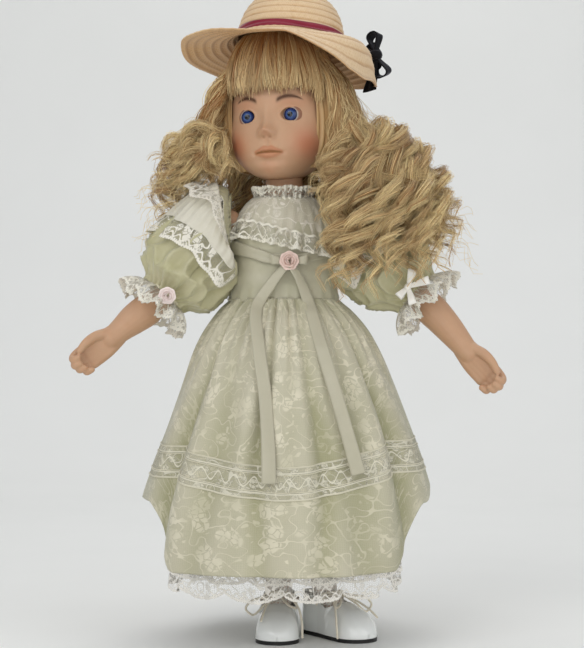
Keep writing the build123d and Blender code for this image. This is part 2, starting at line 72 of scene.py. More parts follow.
def smooth(x, xs, ys):
    """A smooth curve through the points (xs, ys), read at x; xs rise. ys may hold vectors."""
    xs, ys = np.asarray(xs, float), np.asarray(ys, float)
    x = np.clip(np.asarray(x, float), xs[0], xs[-1])
    slope = np.gradient(ys, xs, axis=0)
    i = np.clip(np.searchsorted(xs, x, side="right") - 1, 0, len(xs) - 2)
    h = xs[i + 1] - xs[i]
    t = (x - xs[i]) / h
    if ys.ndim > 1:
        h, t = h[..., None], t[..., None]
    return ((2 * t**3 - 3 * t**2 + 1) * ys[i] + (t**3 - 2 * t**2 + t) * h * slope[i]
            + (3 * t**2 - 2 * t**3) * ys[i + 1] + (t**3 - t**2) * h * slope[i + 1])


def step(x, low, high):
    """0 below low, 1 above high, smooth between. low may be above high, for a falling edge."""
    t = np.clip((np.asarray(x, float) - low) / (high - low), 0, 1)
    return t * t * (3 - 2 * t)


def bell(x, centre, width):
    return np.exp(-0.5 * ((x - centre) / width) ** 2)


def wobble(x, y, seed, octaves=3):
    """Cheap smooth noise of two numbers, about -1 to 1."""
    r = np.random.default_rng(seed)
    total = 0
    for k in range(octaves):
        a, b, c, d = r.uniform(-1, 1, 4) * 1.7**k
        p, q = r.uniform(0, TAU, 2)
        total = total + (np.sin(a * x + b * y + p) + np.sin(c * x + d * y + q)) / (2 * 1.5**k)
    return total / 1.6


def unit(v):
    v = np.asarray(v, float)
    return v / np.maximum(np.linalg.norm(v, axis=-1, keepdims=True), 1e-12)


def full_turn(count):
    """Evenly spaced angles once round, the last one short of the first."""
    return np.arange(count) / count * TAU


def crossed(a, b):
    """Every value of a with every value of b, as two grids."""
    return np.meshgrid(a, b, indexing="ij")


def polar(r, theta, z):
    """Points round the doll's upright axis, theta from the front towards the doll's left."""
    return np.stack([r * np.sin(theta), -r * np.cos(theta), z], -1)


def swing(p, angle, i, j):
    """Points turned by an angle in the plane of axes i and j."""
    p = np.array(p, float)
    a, b = p[..., i].copy(), p[..., j].copy()
    p[..., i] = a * math.cos(angle) - b * math.sin(angle)
    p[..., j] = a * math.sin(angle) + b * math.cos(angle)
    return p


def turn_head(p):
    """Moves points of a head that looks along -Y to where the turned head has them."""
    rolled = swing(np.asarray(p, float) - HEAD_PIVOT, HEAD_ROLL, 0, 2) + HEAD_PIVOT
    return swing(rolled, HEAD_TURN, 0, 1)


# ------------------------------------------------------------------ meshes
def build(name, points, faces, material, uv=None, colours=None):
    """A mesh object from points in millimetres and faces of one size; uv has a pair per corner."""
    points, faces = np.asarray(points, float).reshape(-1, 3), np.asarray(faces, int)
    mesh = bpy.data.meshes.new(name)
    mesh.vertices.add(len(points))
    mesh.vertices.foreach_set("co", (points * MM).astype(np.float32).ravel())
    mesh.loops.add(faces.size)
    mesh.loops.foreach_set("vertex_index", faces.ravel().astype(np.int32))
    mesh.polygons.add(len(faces))
    mesh.polygons.foreach_set("loop_start", np.arange(0, faces.size, faces.shape[1], dtype=np.int32))
    mesh.polygons.foreach_set("use_smooth", np.ones(len(faces), bool))
    if uv is not None:
        layer = mesh.uv_layers.new(name="UVMap")
        layer.data.foreach_set("uv", np.asarray(uv, np.float32).ravel())
    for key, values in (colours or {}).items():
        attribute = mesh.attributes.new(key, "FLOAT", "POINT")
        attribute.data.foreach_set("value", np.asarray(values, np.float32).ravel())
    mesh.update(calc_edges=True)
    mesh.validate()
    mesh.materials.append(material)
    piece = bpy.data.objects.new(name, mesh)
    bpy.context.scene.collection.objects.link(piece)
    return piece


def grid_faces(nu, nv, wrap=False):
    """Quads of an nu by nv grid of points; wrap joins the last row in u to the first."""
    i = np.arange(nu if wrap else nu - 1)[:, None]
    j = np.arange(nv - 1)[None, :]
    a, b = i * nv + j, ((i + 1) % nu) * nv + j
    return np.stack([a, b, b + 1, a + 1], -1).reshape(-1, 4)


def patch(points):
    """Points and faces of an open grid of points, to be joined with others."""
    return points.reshape(-1, 3), grid_faces(*points.shape[:2])


def grid_uv(nu, nv, wrap, width, height):
    """Corner coordinates for grid_faces, running from 0 to width in u and 0 to height in v."""
    rows = nu if wrap else nu - 1
    u = np.arange(rows + 1) / rows * width
    v = np.arange(nv) / (nv - 1) * height
    i, j = crossed(np.arange(rows), np.arange(nv - 1))
    corners = [np.stack([u[i + di], v[j + dj]], -1) for di, dj in ((0, 0), (1, 0), (1, 1), (0, 1))]
    return np.stack(corners, -2).reshape(-1, 2)


def thicken(piece, thickness):
    solidify = piece.modifiers.new("thick", "SOLIDIFY")
    solidify.thickness, solidify.offset = thickness * MM, 0


def sheet(name, points, material, wrap=False, uv_size=(1, 1), colours=None, thick=0.0):
    """A surface from a grid of points, given a thickness if it is wanted."""
    nu, nv = points.shape[:2]
    piece = build(name, points, grid_faces(nu, nv, wrap), material,
                  uv=grid_uv(nu, nv, wrap, *uv_size), colours=colours)
    if thick:
        thicken(piece, thick)
    return piece


def frames(paths):
    """Unit tangents and two steady side directions along each path in an array of them."""
    tangent = unit(np.gradient(paths, axis=1))
    n = np.empty_like(tangent)
    start = np.where(np.abs(tangent[:, 0, 2:3]) > 0.9, [[1.0, 0, 0]], [[0, 0, 1.0]])
    n[:, 0] = unit(np.cross(tangent[:, 0], start))
    for k in range(1, paths.shape[1]):
        side = n[:, k - 1] - np.sum(n[:, k - 1] * tangent[:, k], -1, keepdims=True) * tangent[:, k]
        n[:, k] = unit(side)
    return tangent, n, np.cross(tangent, n)


def tubes(paths, radii, sides=3, squeeze=1.0):
    """Points and faces of closed tubes along paths (count, steps, 3); radii is (count, steps)."""
    paths = np.asarray(paths, float)
    count, steps = paths.shape[:2]
    radii = np.broadcast_to(radii, (count, steps))
    _, n, b = frames(paths)
    angle = full_turn(sides)
    ring = (paths[:, :, None] + radii[..., None, None] * (np.cos(angle)[:, None] * n[:, :, None]
            + squeeze * np.sin(angle)[:, None] * b[:, :, None]))
    base = (np.arange(count) * steps * sides)[:, None, None]
    i, k = np.arange(steps - 1)[None, :, None], np.arange(sides)[None, None, :]
    a = base + i * sides + k
    c = base + i * sides + (k + 1) % sides
    faces = np.stack([a, c, c + sides, a + sides], -1).reshape(-1, 4)
    return ring.reshape(-1, 3), faces


def join(parts):
    """Stacks several (points, faces) pairs into one."""
    points, faces, offset = [], [], 0
    for p, f in parts:
        points.append(np.asarray(p).reshape(-1, 3))
        faces.append(np.asarray(f) + offset)
        offset += len(points[-1])
    return np.concatenate(points), np.concatenate(faces)


def fit(piece, body, slot, *nodes):
    """Puts a finished piece on its body, in place of CAD nodes if any; its material slot is not used."""
    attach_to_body(piece, body)
    if nodes:
        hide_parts(*nodes)


def attach(detail, piece):
    """Makes a detail go wherever its piece goes."""
    detail.parent = piece


# ------------------------------------------------------------------ materials
class Shader:
    """Short-hand for one node material."""

    def __init__(self, name, **settings):
        self.material = bpy.data.materials.new(name)
        self.material.use_nodes = True
        self.tree = self.material.node_tree
        self.bsdf = self.tree.nodes["Principled BSDF"]
        self.set(**settings)

    def put(self, socket, value):
        if isinstance(value, bpy.types.NodeSocket):
            self.tree.links.new(value, socket)
        else:
            socket.default_value = value

    def add(self, kind, inputs=None, out=0, **settings):
        node = self.tree.nodes.new("ShaderNode" + kind)
        for key, value in settings.items():
            setattr(node, key, value)
        for key, value in (inputs or {}).items():
            self.put(node.inputs[key], value)
        return node.outputs[out]

    def set(self, **settings):
        for key, value in settings.items():
            self.put(self.bsdf.inputs[key.replace("_", " ")], value)

    def math(self, operation, a, b=0.0, c=0.0):
        return self.add("Math", {0: a, 1: b, 2: c}, operation=operation)

    def times(self, a, b):
        return self.math("MULTIPLY", a, b)

    def most(self, a, b):
        return self.math("MAXIMUM", a, b)

    def gap(self, a, b):
        return self.math("ABSOLUTE", self.math("SUBTRACT", a, b))

    def mix(self, factor, a, b):
        return self.add("Mix", {0: factor, 6: a, 7: b}, out=2, data_type="RGBA")

    def ramp(self, value, low, high, a=0.0, b=1.0):
        return self.add("MapRange", {0: value, 1: low, 2: high, 3: a, 4: b},
                        interpolation_type="SMOOTHSTEP")

    def scaled(self, vector, scale):
        return self.add("VectorMath", {0: vector, 1: scale}, operation="MULTIPLY")

    def place(self):
        """Rest coordinates in millimetres."""
        return self.scaled(self.add("TexCoord", out=3), (1 / MM, 1 / MM, 1 / MM))

    def uv(self):
        """Distances over the surface in millimetres."""
        return self.scaled(self.add("UVMap", uv_map="UVMap"), (1, 1, 1))

    def noise(self, vector, size, detail=2.0, rough=0.5):
        """Noise whose features are about size units of vector across."""
        return self.add("TexNoise", {"Vector": vector, "Scale": 1 / size, "Detail": detail,
                                     "Roughness": rough})

    def cells(self, vector, size, feature="F1", randomness=1.0):
        return self.add("TexVoronoi", {"Vector": vector, "Scale": 1 / size, "Randomness": randomness},
                        feature=feature)

    def waves(self, vector, size, direction="X", distortion=0.0):
        """Sine bands about 2 * size apart."""
        return self.add("TexWave", {"Vector": vector, "Scale": 0.314 / size, "Distortion": distortion,
                                    "Detail": 1.0}, out=1, bands_direction=direction)

    def value(self, name):
        return self.add("Attribute", out=2, attribute_name=name)

    def bump(self, height, strength, distance, under=None):
        inputs = {"Height": height, "Strength": strength, "Distance": distance * MM}
        if under is not None:
            inputs["Normal"] = under
        return self.add("Bump", inputs)


def bisque():
    """Matt fired porcelain with painted blush, lips and brows read from point attributes."""
    s = Shader("painted_bisque", Roughness=0.46, Specular_IOR_Level=0.32, Subsurface_Weight=0.12,
               Subsurface_Scale=2.5 * MM)
    s.put(s.bsdf.inputs["Subsurface Radius"], (1.0, 0.45, 0.25))
    where = s.place()
    base = s.mix(s.noise(where, 9.0, 3.0), lin(200, 161, 130), lin(190, 149, 116))
    speck = s.ramp(s.noise(where, 0.7, 2.0), 0.62, 0.75)
    base = s.mix(s.times(speck, 0.10), base, lin(190, 130, 100))
    for mask, colour, share in (("blush", lin(196, 98, 62), 0.62), ("lips", lin(190, 128, 92), 0.78),
                                ("line", lin(134, 92, 48), 0.9), ("brow", lin(74, 44, 24), 1.0)):
        base = s.mix(s.times(s.value(mask), share), base, colour)
    grain = s.bump(s.noise(where, 0.35, 3.0), 0.10, 0.05)
    s.set(Base_Color=base, Normal=grain)
    return s.material


def cloth(name, colour, other, weave=0.45, rough=0.7, sheen=0.25):
    """Plain or satin woven cloth with a fine thread pattern."""
    s = Shader(name, Roughness=rough, Specular_IOR_Level=0.3, Sheen_Weight=sheen, Sheen_Roughness=0.4)
    where = s.place()
    s.set(Base_Color=s.mix(s.noise(where, 16.0, 4.0, 0.6), colour, other))
    uv = s.uv()
    threads = s.math("ADD", s.waves(uv, weave, "X"), s.waves(uv, weave, "Y"))
    wrinkle = s.bump(s.noise(where, 5.0, 4.0, 0.55), 0.25, 1.2)
    s.set(Normal=s.bump(threads, 0.25, 0.08, wrinkle))
    return s.material


def lace_pattern(s, uv, flower, net=1.15):
    """Shares of thread in a floral lace: its flowers, stems and leaves, and the net between them."""
    drift = s.add("TexNoise", {"Vector": uv, "Scale": 1 / 11.0, "Detail": 1.0}, out=1)
    warped = s.add("VectorMath", {0: drift, 1: (7.0, 7.0, 0.0), 2: uv}, operation="MULTIPLY_ADD")
    bloom = s.ramp(s.cells(warped, flower), 0.42, 0.34)
    veins = s.ramp(s.cells(warped, flower / 3.6, "DISTANCE_TO_EDGE"), 0.02, 0.08)
    stems = s.ramp(s.gap(s.noise(warped, 10.0, 0.0), 0.5), 0.024, 0.012)
    leaves = s.times(s.ramp(s.noise(warped, 3.4, 0.0), 0.60, 0.64),
                     s.ramp(s.noise(uv, 13.0, 0.0), 0.5, 0.56))
    mesh = s.ramp(s.cells(uv, net, "DISTANCE_TO_EDGE", randomness=0.35), 0.10, 0.05)
    solid = s.most(s.times(bloom, veins), s.most(stems, leaves))
    return solid, mesh


def laid_lace(name, ground, shade, thread, flower, fold_shade=None):
    """Floral lace lying flat on satin, as one opaque surface; a last colour, if given, is painted shade
    in the bottoms of its folds.
    """
    s = Shader(name, Roughness=0.62, Specular_IOR_Level=0.35, Sheen_Weight=0.35, Sheen_Roughness=0.4)
    uv, where = s.uv(), s.place()
    solid, mesh = lace_pattern(s, uv, flower)
    satin = s.mix(s.noise(where, 20.0, 3.0), ground, shade)
    # Painted shade: where the fold attribute is high, the satin and threads darken towards the last
    # colour.
    if fold_shade:
        fold = s.value("fold")
        satin = s.mix(fold, satin, fold_shade)
        thread = s.mix(s.times(fold, 0.6), thread, fold_shade)
    patch = s.ramp(s.noise(where, 14.0, 1.0), 0.35, 0.65, 0.5, 1.0)
    cover = s.most(s.times(solid, patch), s.times(mesh, 0.30))
    height = s.math("MULTIPLY_ADD", s.waves(uv, 0.45, "DIAGONAL", 1.5), 0.15, cover)
    wrinkle = s.bump(s.noise(where, 6.0, 4.0, 0.55), 0.22, 1.4)
    s.set(Base_Color=s.mix(cover, satin, thread), Normal=s.bump(height, 0.7, 0.30, wrinkle),
          Roughness=s.ramp(cover, 0.0, 1.0, 0.5, 0.8))
    return s.material


def fibre():
    """Wig fibre, from shaded roots to sunlit ends."""
    s = Shader("wig_fibre", Roughness=0.42, Specular_IOR_Level=0.45, Sheen_Weight=0.1)
    s.set(Base_Color=s.mix(s.value("tone"), lin(154, 98, 40), lin(255, 233, 176)))
    return s.material


def straw():
    """Plaited straw: flat braids sewn in a spiral, with a herringbone of split stalks; painted shade on
    downward faces, in the grooves between rows and in the herringbone's troughs.
    """
    s = Shader("straw_plait", Roughness=0.55, Specular_IOR_Level=0.35, Sheen_Weight=0.1)
    uv, where = s.uv(), s.place()
    weave = s.most(*(s.waves(s.scaled(uv, (1.0, slant, 1.0)), 1.5, "DIAGONAL") for slant in (1.4, -1.4)))
    straws = s.mix(s.noise(where, 2.2, 3.0, 0.65), lin(236, 211, 174), lin(216, 182, 138))
    # Faces that turn downwards, such as the brim's underside, go warmer and darker: painted shade.
    facing = s.add("SeparateXYZ", {0: s.add("TexCoord", out=1)}, out=2)
    straws = s.mix(s.ramp(facing, 0.1, -0.5, 0.0, 0.65), straws, lin(206, 156, 92))
    # The grooves between rows of plait darken: painted shade in the recesses.
    colour = s.mix(s.times(s.value("groove_shade"), 0.72), straws, lin(176, 128, 84))
    # The troughs between the herringbone's stalks darken: painted shade.
    colour = s.mix(s.ramp(weave, 0.5, 0.15, 0.0, 0.35), colour, lin(206, 164, 120))
    fine = s.bump(weave, 0.55, 0.35)
    s.set(Base_Color=colour, Normal=s.bump(s.noise(where, 0.5, 3.0), 0.25, 0.12, fine))
    return s.material


# ------------------------------------------------------------------ head
def face_surface(x, z):
    """How far the face stands out, beyond a smooth egg, at a point seen from the front."""
    ax = np.abs(x)
    out = -2.3 * bell(ax, EYE_X, 6.6) * bell(z, 341.0, 5.4)
    out += 0.7 * bell(ax, 13.0, 8.0) * bell(z, 350.5, 3.2)
    out += 1.5 * bell(ax, 18.0, 8.0) * bell(z, 322.0, 8.0)
    out += 4.2 * bell(x, 0, 2.6) * step(z, 325.4, 330.0) * step(z, 349.0, 329.0)
    out += 3.6 * bell(x, 0, 3.2) * bell(z, 328.4, 2.7)
    out += 2.2 * bell(ax, 3.9, 1.7) * bell(z, 327.1, 2.1)
    out -= 1.1 * bell(ax, 2.1, 0.9) * bell(z, 324.8, 0.8)
    out += 1.1 * bell(x, 0, 9.0) * bell(z, 316.5, 7.0)
    out -= 0.45 * bell(x, 0, 1.1) * bell(z, 320.6, 1.8)
    bow = 317.4 + 0.6 * bell(ax, 2.3, 1.2) - 0.030 * x**2
    out += 1.35 * bell(z, bow, 1.15) * step(ax, 9.5, 3.5)
    out += 1.6 * bell(z, 313.2 + 0.016 * x**2, 1.5) * step(ax, 8.5, 2.0)
    out -= 1.0 * bell(z, 315.5 - 0.010 * x**2, 0.5) * step(ax, 10.0, 6.5)
    out -= 0.7 * bell(ax, 9.8, 1.1) * bell(z, 315.0, 1.2)
    out -= 1.0 * bell(x, 0, 6.5) * bell(z, 309.6, 1.6)
    out += 1.5 * bell(x, 0, 6.2) * bell(z, 305.2, 3.2)
    out += 0.3 * bell(z, 348.0 - 0.05 * (ax - EYE_X) ** 2, 1.6) * bell(ax, EYE_X, 6.0)
    return out


def eye_ring(x, z):
    """1 on the edge of the nearer eye opening, less inside it: an almond, a little flatter below."""
    dx, dz = np.abs(x) - EYE_X, z - 339.1
    return (dx / 5.1) ** 2 + (dz / np.where(dz > 0, 4.1 - 0.03 * dx**2, 3.7)) ** 2


# Sections of the head from the chin's underside up: place, height, half width, depth before and behind.
HEAD_SECTIONS = np.array([
    (0, 299.0, 0, 2, 0), (.03, 299.6, 7.5, 17.0, 3.0), (.08, 301.4, 14.2, 26.0, 6.0),
    (.14, 304.8, 20.6, 30.4, 11.0), (.22, 310.8, 27.4, 32.8, 19.0), (.34, 320.4, 32.4, 34.4, 28.0),
    (.46, 330.5, 33.4, 34.8, 32.5), (.58, 341, 32.4, 35.2, 34.6), (.70, 352, 31.2, 34.8, 34.0),
    (.82, 364, 27.2, 30.6, 29.5), (.91, 373, 20.2, 22.6, 21.5), (.97, 379.5, 11.0, 12.0, 11.5),
    (1, 382, 0, 0, 0)])


def head_points(columns=372, rows=262):
    """The turned-out head as a grid, and the angle of each of its points from the face."""
    u = full_turn(columns)
    around = u - 0.62 * np.sin(u)
    z, half, front, back = smooth(np.linspace(0, 1, rows), HEAD_SECTIONS[:, 0], HEAD_SECTIONS[:, 1:]).T
    a, zz = crossed(around, z)
    hw, fr, bk = (np.broadcast_to(v, a.shape) for v in (half, front, back))
    facing = np.cos(a)
    x = hw * np.sign(np.sin(a)) * np.abs(np.sin(a)) ** 1.06
    y = np.where(facing > 0, -fr, bk) * np.abs(facing) ** 0.96 - 1.0
    facing = np.clip(facing, 0, 1)
    lift = face_surface(x, zz) * step(facing, 0.15, 0.5)
    e = eye_ring(x, zz)
    lid = 0.55 * bell(e, 1.45, 0.34) * step(zz, 336, 342) + 0.3 * bell(e, 1.4, 0.3)
    sunk = step(e, 1.12, 0.82)
    lift = lift + lid * step(facing, 0.3, 0.6)
    nx, ny = x / np.maximum(hw, 1), -facing
    length = np.sqrt(nx**2 * 0.35 + ny**2) + 1e-6
    x = x + lift * nx * 0.35 / length
    y = y + lift * ny / length
    y = y + 3.6 * sunk * step(facing, 0.3, 0.6)
    return np.stack([x, y, zz], -1), a


def painted(points, around):
    """Masks for the painted parts of the face."""
    x, z = points[..., 0], points[..., 2]
    ax = np.abs(x)
    front = step(np.cos(around), 0.1, 0.35)
    blush = (0.80 * bell(ax, 24.0, 5.8) * bell(z, 320.0, 7.0)
             + 0.30 * bell(ax, 15.0, 6.5) * bell(z, 347.0, 3.2)
             + 0.22 * bell(x, 0, 5.0) * bell(z, 305.0, 4.0)
             + 0.25 * bell(x, 0, 2.5) * bell(z, 327.5, 2.5))
    top = 318.7 + 0.9 * bell(ax, 2.6, 1.4) - 0.028 * x**2
    low = 311.5 + 0.030 * x**2
    mouth = 315.5 - 0.010 * x**2
    lips = step(z, low - 0.8, low + 0.8) * step(z, top + 0.6, top - 0.6) * step(ax, 10.6, 8.6)
    line = bell(z, mouth, 0.5) * step(ax, 10.2, 7.0)
    e = eye_ring(x, z)
    line = np.maximum(line, 0.8 * bell(e, 1.15, 0.14) * step(z, 338.0, 341.5))
    line = np.maximum(line, 0.30 * bell(e, 1.15, 0.12))
    line = np.maximum(line, 0.4 * bell(ax, 2.2, 0.8) * bell(z, 324.9, 0.6))
    arch = 350.9 - 0.042 * (ax - 14.0) ** 2 + 0.06 * (ax - 14)
    brow = bell(z, arch, 0.75 * step(ax, 24.0, 12.0) + 0.3) * step(ax, 5.5, 8.0) * step(ax, 23.0, 20.0)
    brow = np.clip(1.3 * brow * (0.8 + 0.2 * np.sin(ax * 9 + z * 6)), 0, 1)
    return {"blush": blush * front, "lips": lips * front, "line": line * front, "brow": brow * front}


def make_head():
    points, around = head_points()
    skin = bisque()
    head = sheet("bisque_head", turn_head(points), skin, wrap=True, colours=painted(points, around))
    z = np.linspace(285.5, 306.0, 40)
    r = smooth(z, [285.5, 287.0, 290.0, 294.0, 298.5, 303.0, 306.0],
               [5.0, 8.5, 11.8, 12.9, 12.3, 12.6, 14.5])
    a = full_turn(64)
    ring = np.stack([r * np.cos(a)[:, None], r * np.sin(a)[:, None] * 0.96,
                     np.broadcast_to(z, (64, 40))], -1)
    neck = sheet("bisque_neck", turn_head(ring), skin, wrap=True)
    fit(head, "head", "bisque", "head")
    attach(neck, head)
    for side in (-1, 1):
        make_eye(side)


def eye_material():
    s = Shader("glass_eye", Roughness=0.12, Specular_IOR_Level=0.35, Coat_Weight=0.35,
               Coat_Roughness=0.02)
    r = s.value("iris")
    rays = s.add("CombineXYZ", {0: s.times(s.value("spoke"), 14.0), 1: s.times(r, 0.6)})
    spokes = s.noise(rays, 1.0, 2.0)
    blue = s.mix(s.ramp(r, 1.8, 3.9), lin(66, 98, 150), lin(28, 52, 108))
    blue = s.mix(s.ramp(spokes, 0.35, 0.7, 0.0, 0.6), blue, lin(24, 40, 90))
    blue = s.mix(s.ramp(r, 3.7, 4.5), blue, lin(14, 20, 56))
    blue = s.mix(s.ramp(r, 2.1, 1.75), blue, lin(6, 7, 16))
    # Past the white the eyeball turns a brownish flesh colour: painted shade where the lids overhang its
    # edge.
    white = s.mix(s.ramp(r, 4.9, 5.7), lin(176, 166, 160), lin(158, 118, 98))
    s.set(Base_Color=s.mix(s.ramp(r, 4.6, 4.85), blue, white))
    return s.material


def make_eye(side):
    """A glass eye with a domed clear front: iris and pupil are read from the distance to its axis."""
    rows, columns = 48, 64
    t, a = np.meshgrid(np.linspace(0, math.pi, rows), full_turn(columns))
    r = EYE_R * np.sin(t)
    dome = 0.75 * step(r, 4.8, 2.0) * (t < math.pi / 2)
    x, z = r * np.cos(a), r * np.sin(a)
    y = -(EYE_R * np.cos(t) + dome)
    aim = math.radians(3.0)
    x, y = x * math.cos(aim) - y * math.sin(aim), x * math.sin(aim) + y * math.cos(aim)
    points = np.stack([x + side * EYE_X, y + EYE_Y, z + EYE_Z], -1)
    material = bpy.data.materials.get("glass_eye") or eye_material()
    iris = np.where(t < math.pi / 2, r * 1.08, 9.0)
    word = "left" if side > 0 else "right"
    eye = sheet(f"{word}_glass_eye", turn_head(points), material, wrap=True,
                colours={"iris": iris, "spoke": np.cos(a) * 2 + np.sin(a * 3)})
    fit(eye, "head", "eye_glass", f"{word}_eye")


make_head()


# ------------------------------------------------------------------ hat
HAT_SEAT, HAT_TILT, HAT_ROLL = np.array([4.0, 4.0, 387.5]), math.radians(-9.0), math.radians(-5.0)
HAT_PROFILE_LENGTH, PLAIT_WIDTH = 82.0, 4.1
# How far the brim's edge droops at each angle from the front, in degrees and millimetres.
DROOP = ((-180, 10), (-150, 12), (-120, 11), (-90, 7), (-60, 9), (-30, 10), (0, 12.5), (12, 16.5),
         (27, 21.5), (40, 26), (60, 27), (75, 25), (90, 22), (110, 16), (140, 11), (180, 10))


def on_hat(p):
    """From the hat's own axes to where it sits: tilted back, and a little down on the doll's left."""
    return swing(swing(p, HAT_ROLL, 0, 2), HAT_TILT, 1, 2) + HAT_SEAT


def brim_drop(a, r):
    """How far the brim hangs below its root; a is measured from the front, towards the doll's left."""
    out = np.clip((r - 36.0) / 29.0, 0, 1)
    turn = np.degrees(np.angle(np.exp(1j * a)))
    drop = np.interp(turn, *zip(*DROOP))
    fold = bell(turn, 62, 34)
    return drop * out ** (1.15 + 1.1 * fold) - 6.5 * fold * bell(out, 0.5, 0.22)


def straw_point(s, a):
    """A point of the hat at distance s along its profile from the top of the crown, at angle a."""
    profile_s = [0, 11, 20, 28, 35, 43, 49, 53, 82]
    r = smooth(s, profile_s, [0.1, 11, 20, 26.6, 30.6, 33.2, 34.4, 36.8, 65.4])
    z = smooth(s, profile_s, [36.0, 35.1, 31.8, 26.6, 20.2, 11.6, 4.8, 1.8, 0.6])
    drop = brim_drop(a, r)
    ripple = step(s, 58, 82) * (0.8 * np.sin(a * 5 + 1.0) + 0.45 * np.sin(a * 9 + 2.2))
    right, left = (np.angle(np.exp(1j * (a - at))) for at in (-1.57, 1.35))
    tuck = 0.13 * bell(left, 0, 0.55) * np.clip(drop / 22, 0, 1)
    wide = 1 + step(s, 52, 82) * (0.10 * bell(right, 0, 0.8) - tuck)
    return r * wide, z - drop + ripple


def make_hat():
    s = np.linspace(0.6, HAT_PROFILE_LENGTH, int(HAT_PROFILE_LENGTH / PLAIT_WIDTH * 7))
    aa, ss = crossed(full_turn(300), s)
    r, z = straw_point(ss, aa)
    phase = ((ss + PLAIT_WIDTH * aa / TAU) / PLAIT_WIDTH) % 1.0
    ridge = 0.95 * np.sqrt(np.clip(np.sin(math.pi * phase), 0, 1)) + 0.35 * phase
    plait = 0.16 * np.sin(aa * r * 1.25 + phase * 9) * np.sin(math.pi * phase)
    edge = step(ss, 79.5, HAT_PROFILE_LENGTH)
    dr, dz = np.gradient(r, axis=1), np.gradient(z, axis=1)
    size = np.sqrt(dr**2 + dz**2) + 1e-9
    rise = ridge + plait + 0.5 * edge
    r2, z2 = r - rise * dz / size, z + rise * dr / size
    points = polar(r2, aa, z2)
    # Nearness to the grooves between rows, which the straw material darkens as painted shade.
    groove_shade = np.clip(1 - 2.2 * np.sin(math.pi * phase), 0, 1)
    hat = sheet("straw_hat_plaits", on_hat(points), straw(), wrap=True,
                uv_size=(400, HAT_PROFILE_LENGTH),
                colours={"groove_shade": groove_shade}, thick=1.1)
    fit(hat, "hat", "straw", "straw_hat")
    make_band()
    make_bow()


def make_band():
    """Thin satin band round the foot of the crown, creased along its length."""
    aa, vv = crossed(full_turn(200), np.linspace(0, 1, 14))
    wander = 0.7 * np.sin(3 * aa + 1) + 0.4 * np.sin(7 * aa)
    s = 50.8 - 4.8 * vv + wander * 0.3
    r, z = straw_point(s, aa)
    r = r + 2.7 + 0.25 * np.sin(vv * 9 + 2 * np.sin(aa * 4)) - 0.5 * np.abs(vv - 0.5)
    points = polar(r, aa, z)
    material = cloth("wine_satin", lin(150, 24, 56), lin(118, 14, 38), rough=0.4, sheen=0.4)
    band = sheet("hat_ribbon_band", on_hat(points), material, wrap=True, uv_size=(230, 9), thick=0.35)
    fit(band, "hat", "wine_ribbon", "hat_band")


def velvet():
    s = Shader("black_velvet", Roughness=0.85, Specular_IOR_Level=0.2, Sheen_Weight=0.6,
               Sheen_Roughness=0.35)
    s.put(s.bsdf.inputs["Sheen Tint"], (0.35, 0.35, 0.4, 1))
    where = s.place()
    s.set(Base_Color=s.mix(s.noise(where, 2.0), lin(10, 10, 12), lin(24, 23, 27)),
          Normal=s.bump(s.noise(where, 0.5, 3.0), 0.5, 0.2))
    return s.material


def ribbon(centre, across, width, steps_across=9, curl=0.0):
    """A ribbon surface: centre points (n, 3) and the unit direction across it at each."""
    w = np.linspace(-0.5, 0.5, steps_across)
    n = unit(np.cross(np.gradient(centre, axis=0), across))
    width = np.broadcast_to(width, (len(centre),))
    return (centre[:, None] + w[None, :, None] * (width[:, None] * across)[:, None]
            + curl * (4 * w**2 - 1)[None, :, None] * n[:, None])


def bow_loop(direction, length, height, width, up):
    """One loop of a ribbon bow: out along direction and back."""
    t = np.linspace(0, 1, 26)
    direction, up = unit(direction), unit(up)
    out = np.sin(math.pi * t) ** 0.8 * length
    lift = height * np.sin(TAU * t) * 0.5 * (0.4 + 0.6 * np.sin(math.pi * t))
    centre = out[:, None] * direction + lift[:, None] * up
    across = unit(np.cross(direction, up))
    return ribbon(centre, np.broadcast_to(across, centre.shape),
                  width * (0.45 + 0.55 * np.sin(math.pi * t)))


def make_bow():
    """Gathered velvet bow at the edge of the brim, behind the doll's left side."""
    place, material = np.array([61.0, 10.0, 384.0]), velvet()
    parts = []
    for direction, length, height in (((-0.05, 0.2, 0.95), 15, 9), ((0.35, 0.1, -0.85), 15, 11),
                                      ((-0.1, 0.9, 0.55), 11, 8), ((0.1, 0.95, -0.5), 11, 8)):
        parts.append(patch(bow_loop(direction, length, height, 9.0, (0.8, -0.5, 0.3)) + place))
    for direction in ((-0.22, 0.0, -1.0), (-0.05, 0.5, -1.0)):
        t = np.linspace(0, 1, 16)
        sway = np.sin(t * 5)[:, None] * [0.8, 0.8, 0]
        centre = place + t[:, None] * 25 * unit(np.array(direction)) + sway
        across = np.broadcast_to(unit(np.array([0.6, -0.8, 0.1])), centre.shape)
        parts.append(patch(ribbon(centre, across, 5.0 + 2.5 * t, curl=0.8)))
    bow = build("velvet_bow", *join(parts), material)
    thicken(bow, 0.9)
    turn = TAU * np.linspace(0, 1, 9)
    knot_path = place + 2.2 * np.stack([np.sin(turn), np.cos(turn), 0 * turn], -1)
    knot = build("velvet_bow_knot", *tubes(knot_path[None], 2.4, sides=12, squeeze=1.3), material)
    fit(bow, "hat", "black_velvet", "hat_bow")
    attach(knot, bow)


make_hat()


# ------------------------------------------------------------------ hair
HAIR_STEPS = 44
LOCKS_A_PIECE = 18
STRAND_RADIUS, STRAND_STRAY = 0.21, 1.5
FRINGE_TOP = 394.0
# The heights in metres between which a hanging lock passes from the head to the torso.
HAIR_HOLD = (0.325, 0.290)


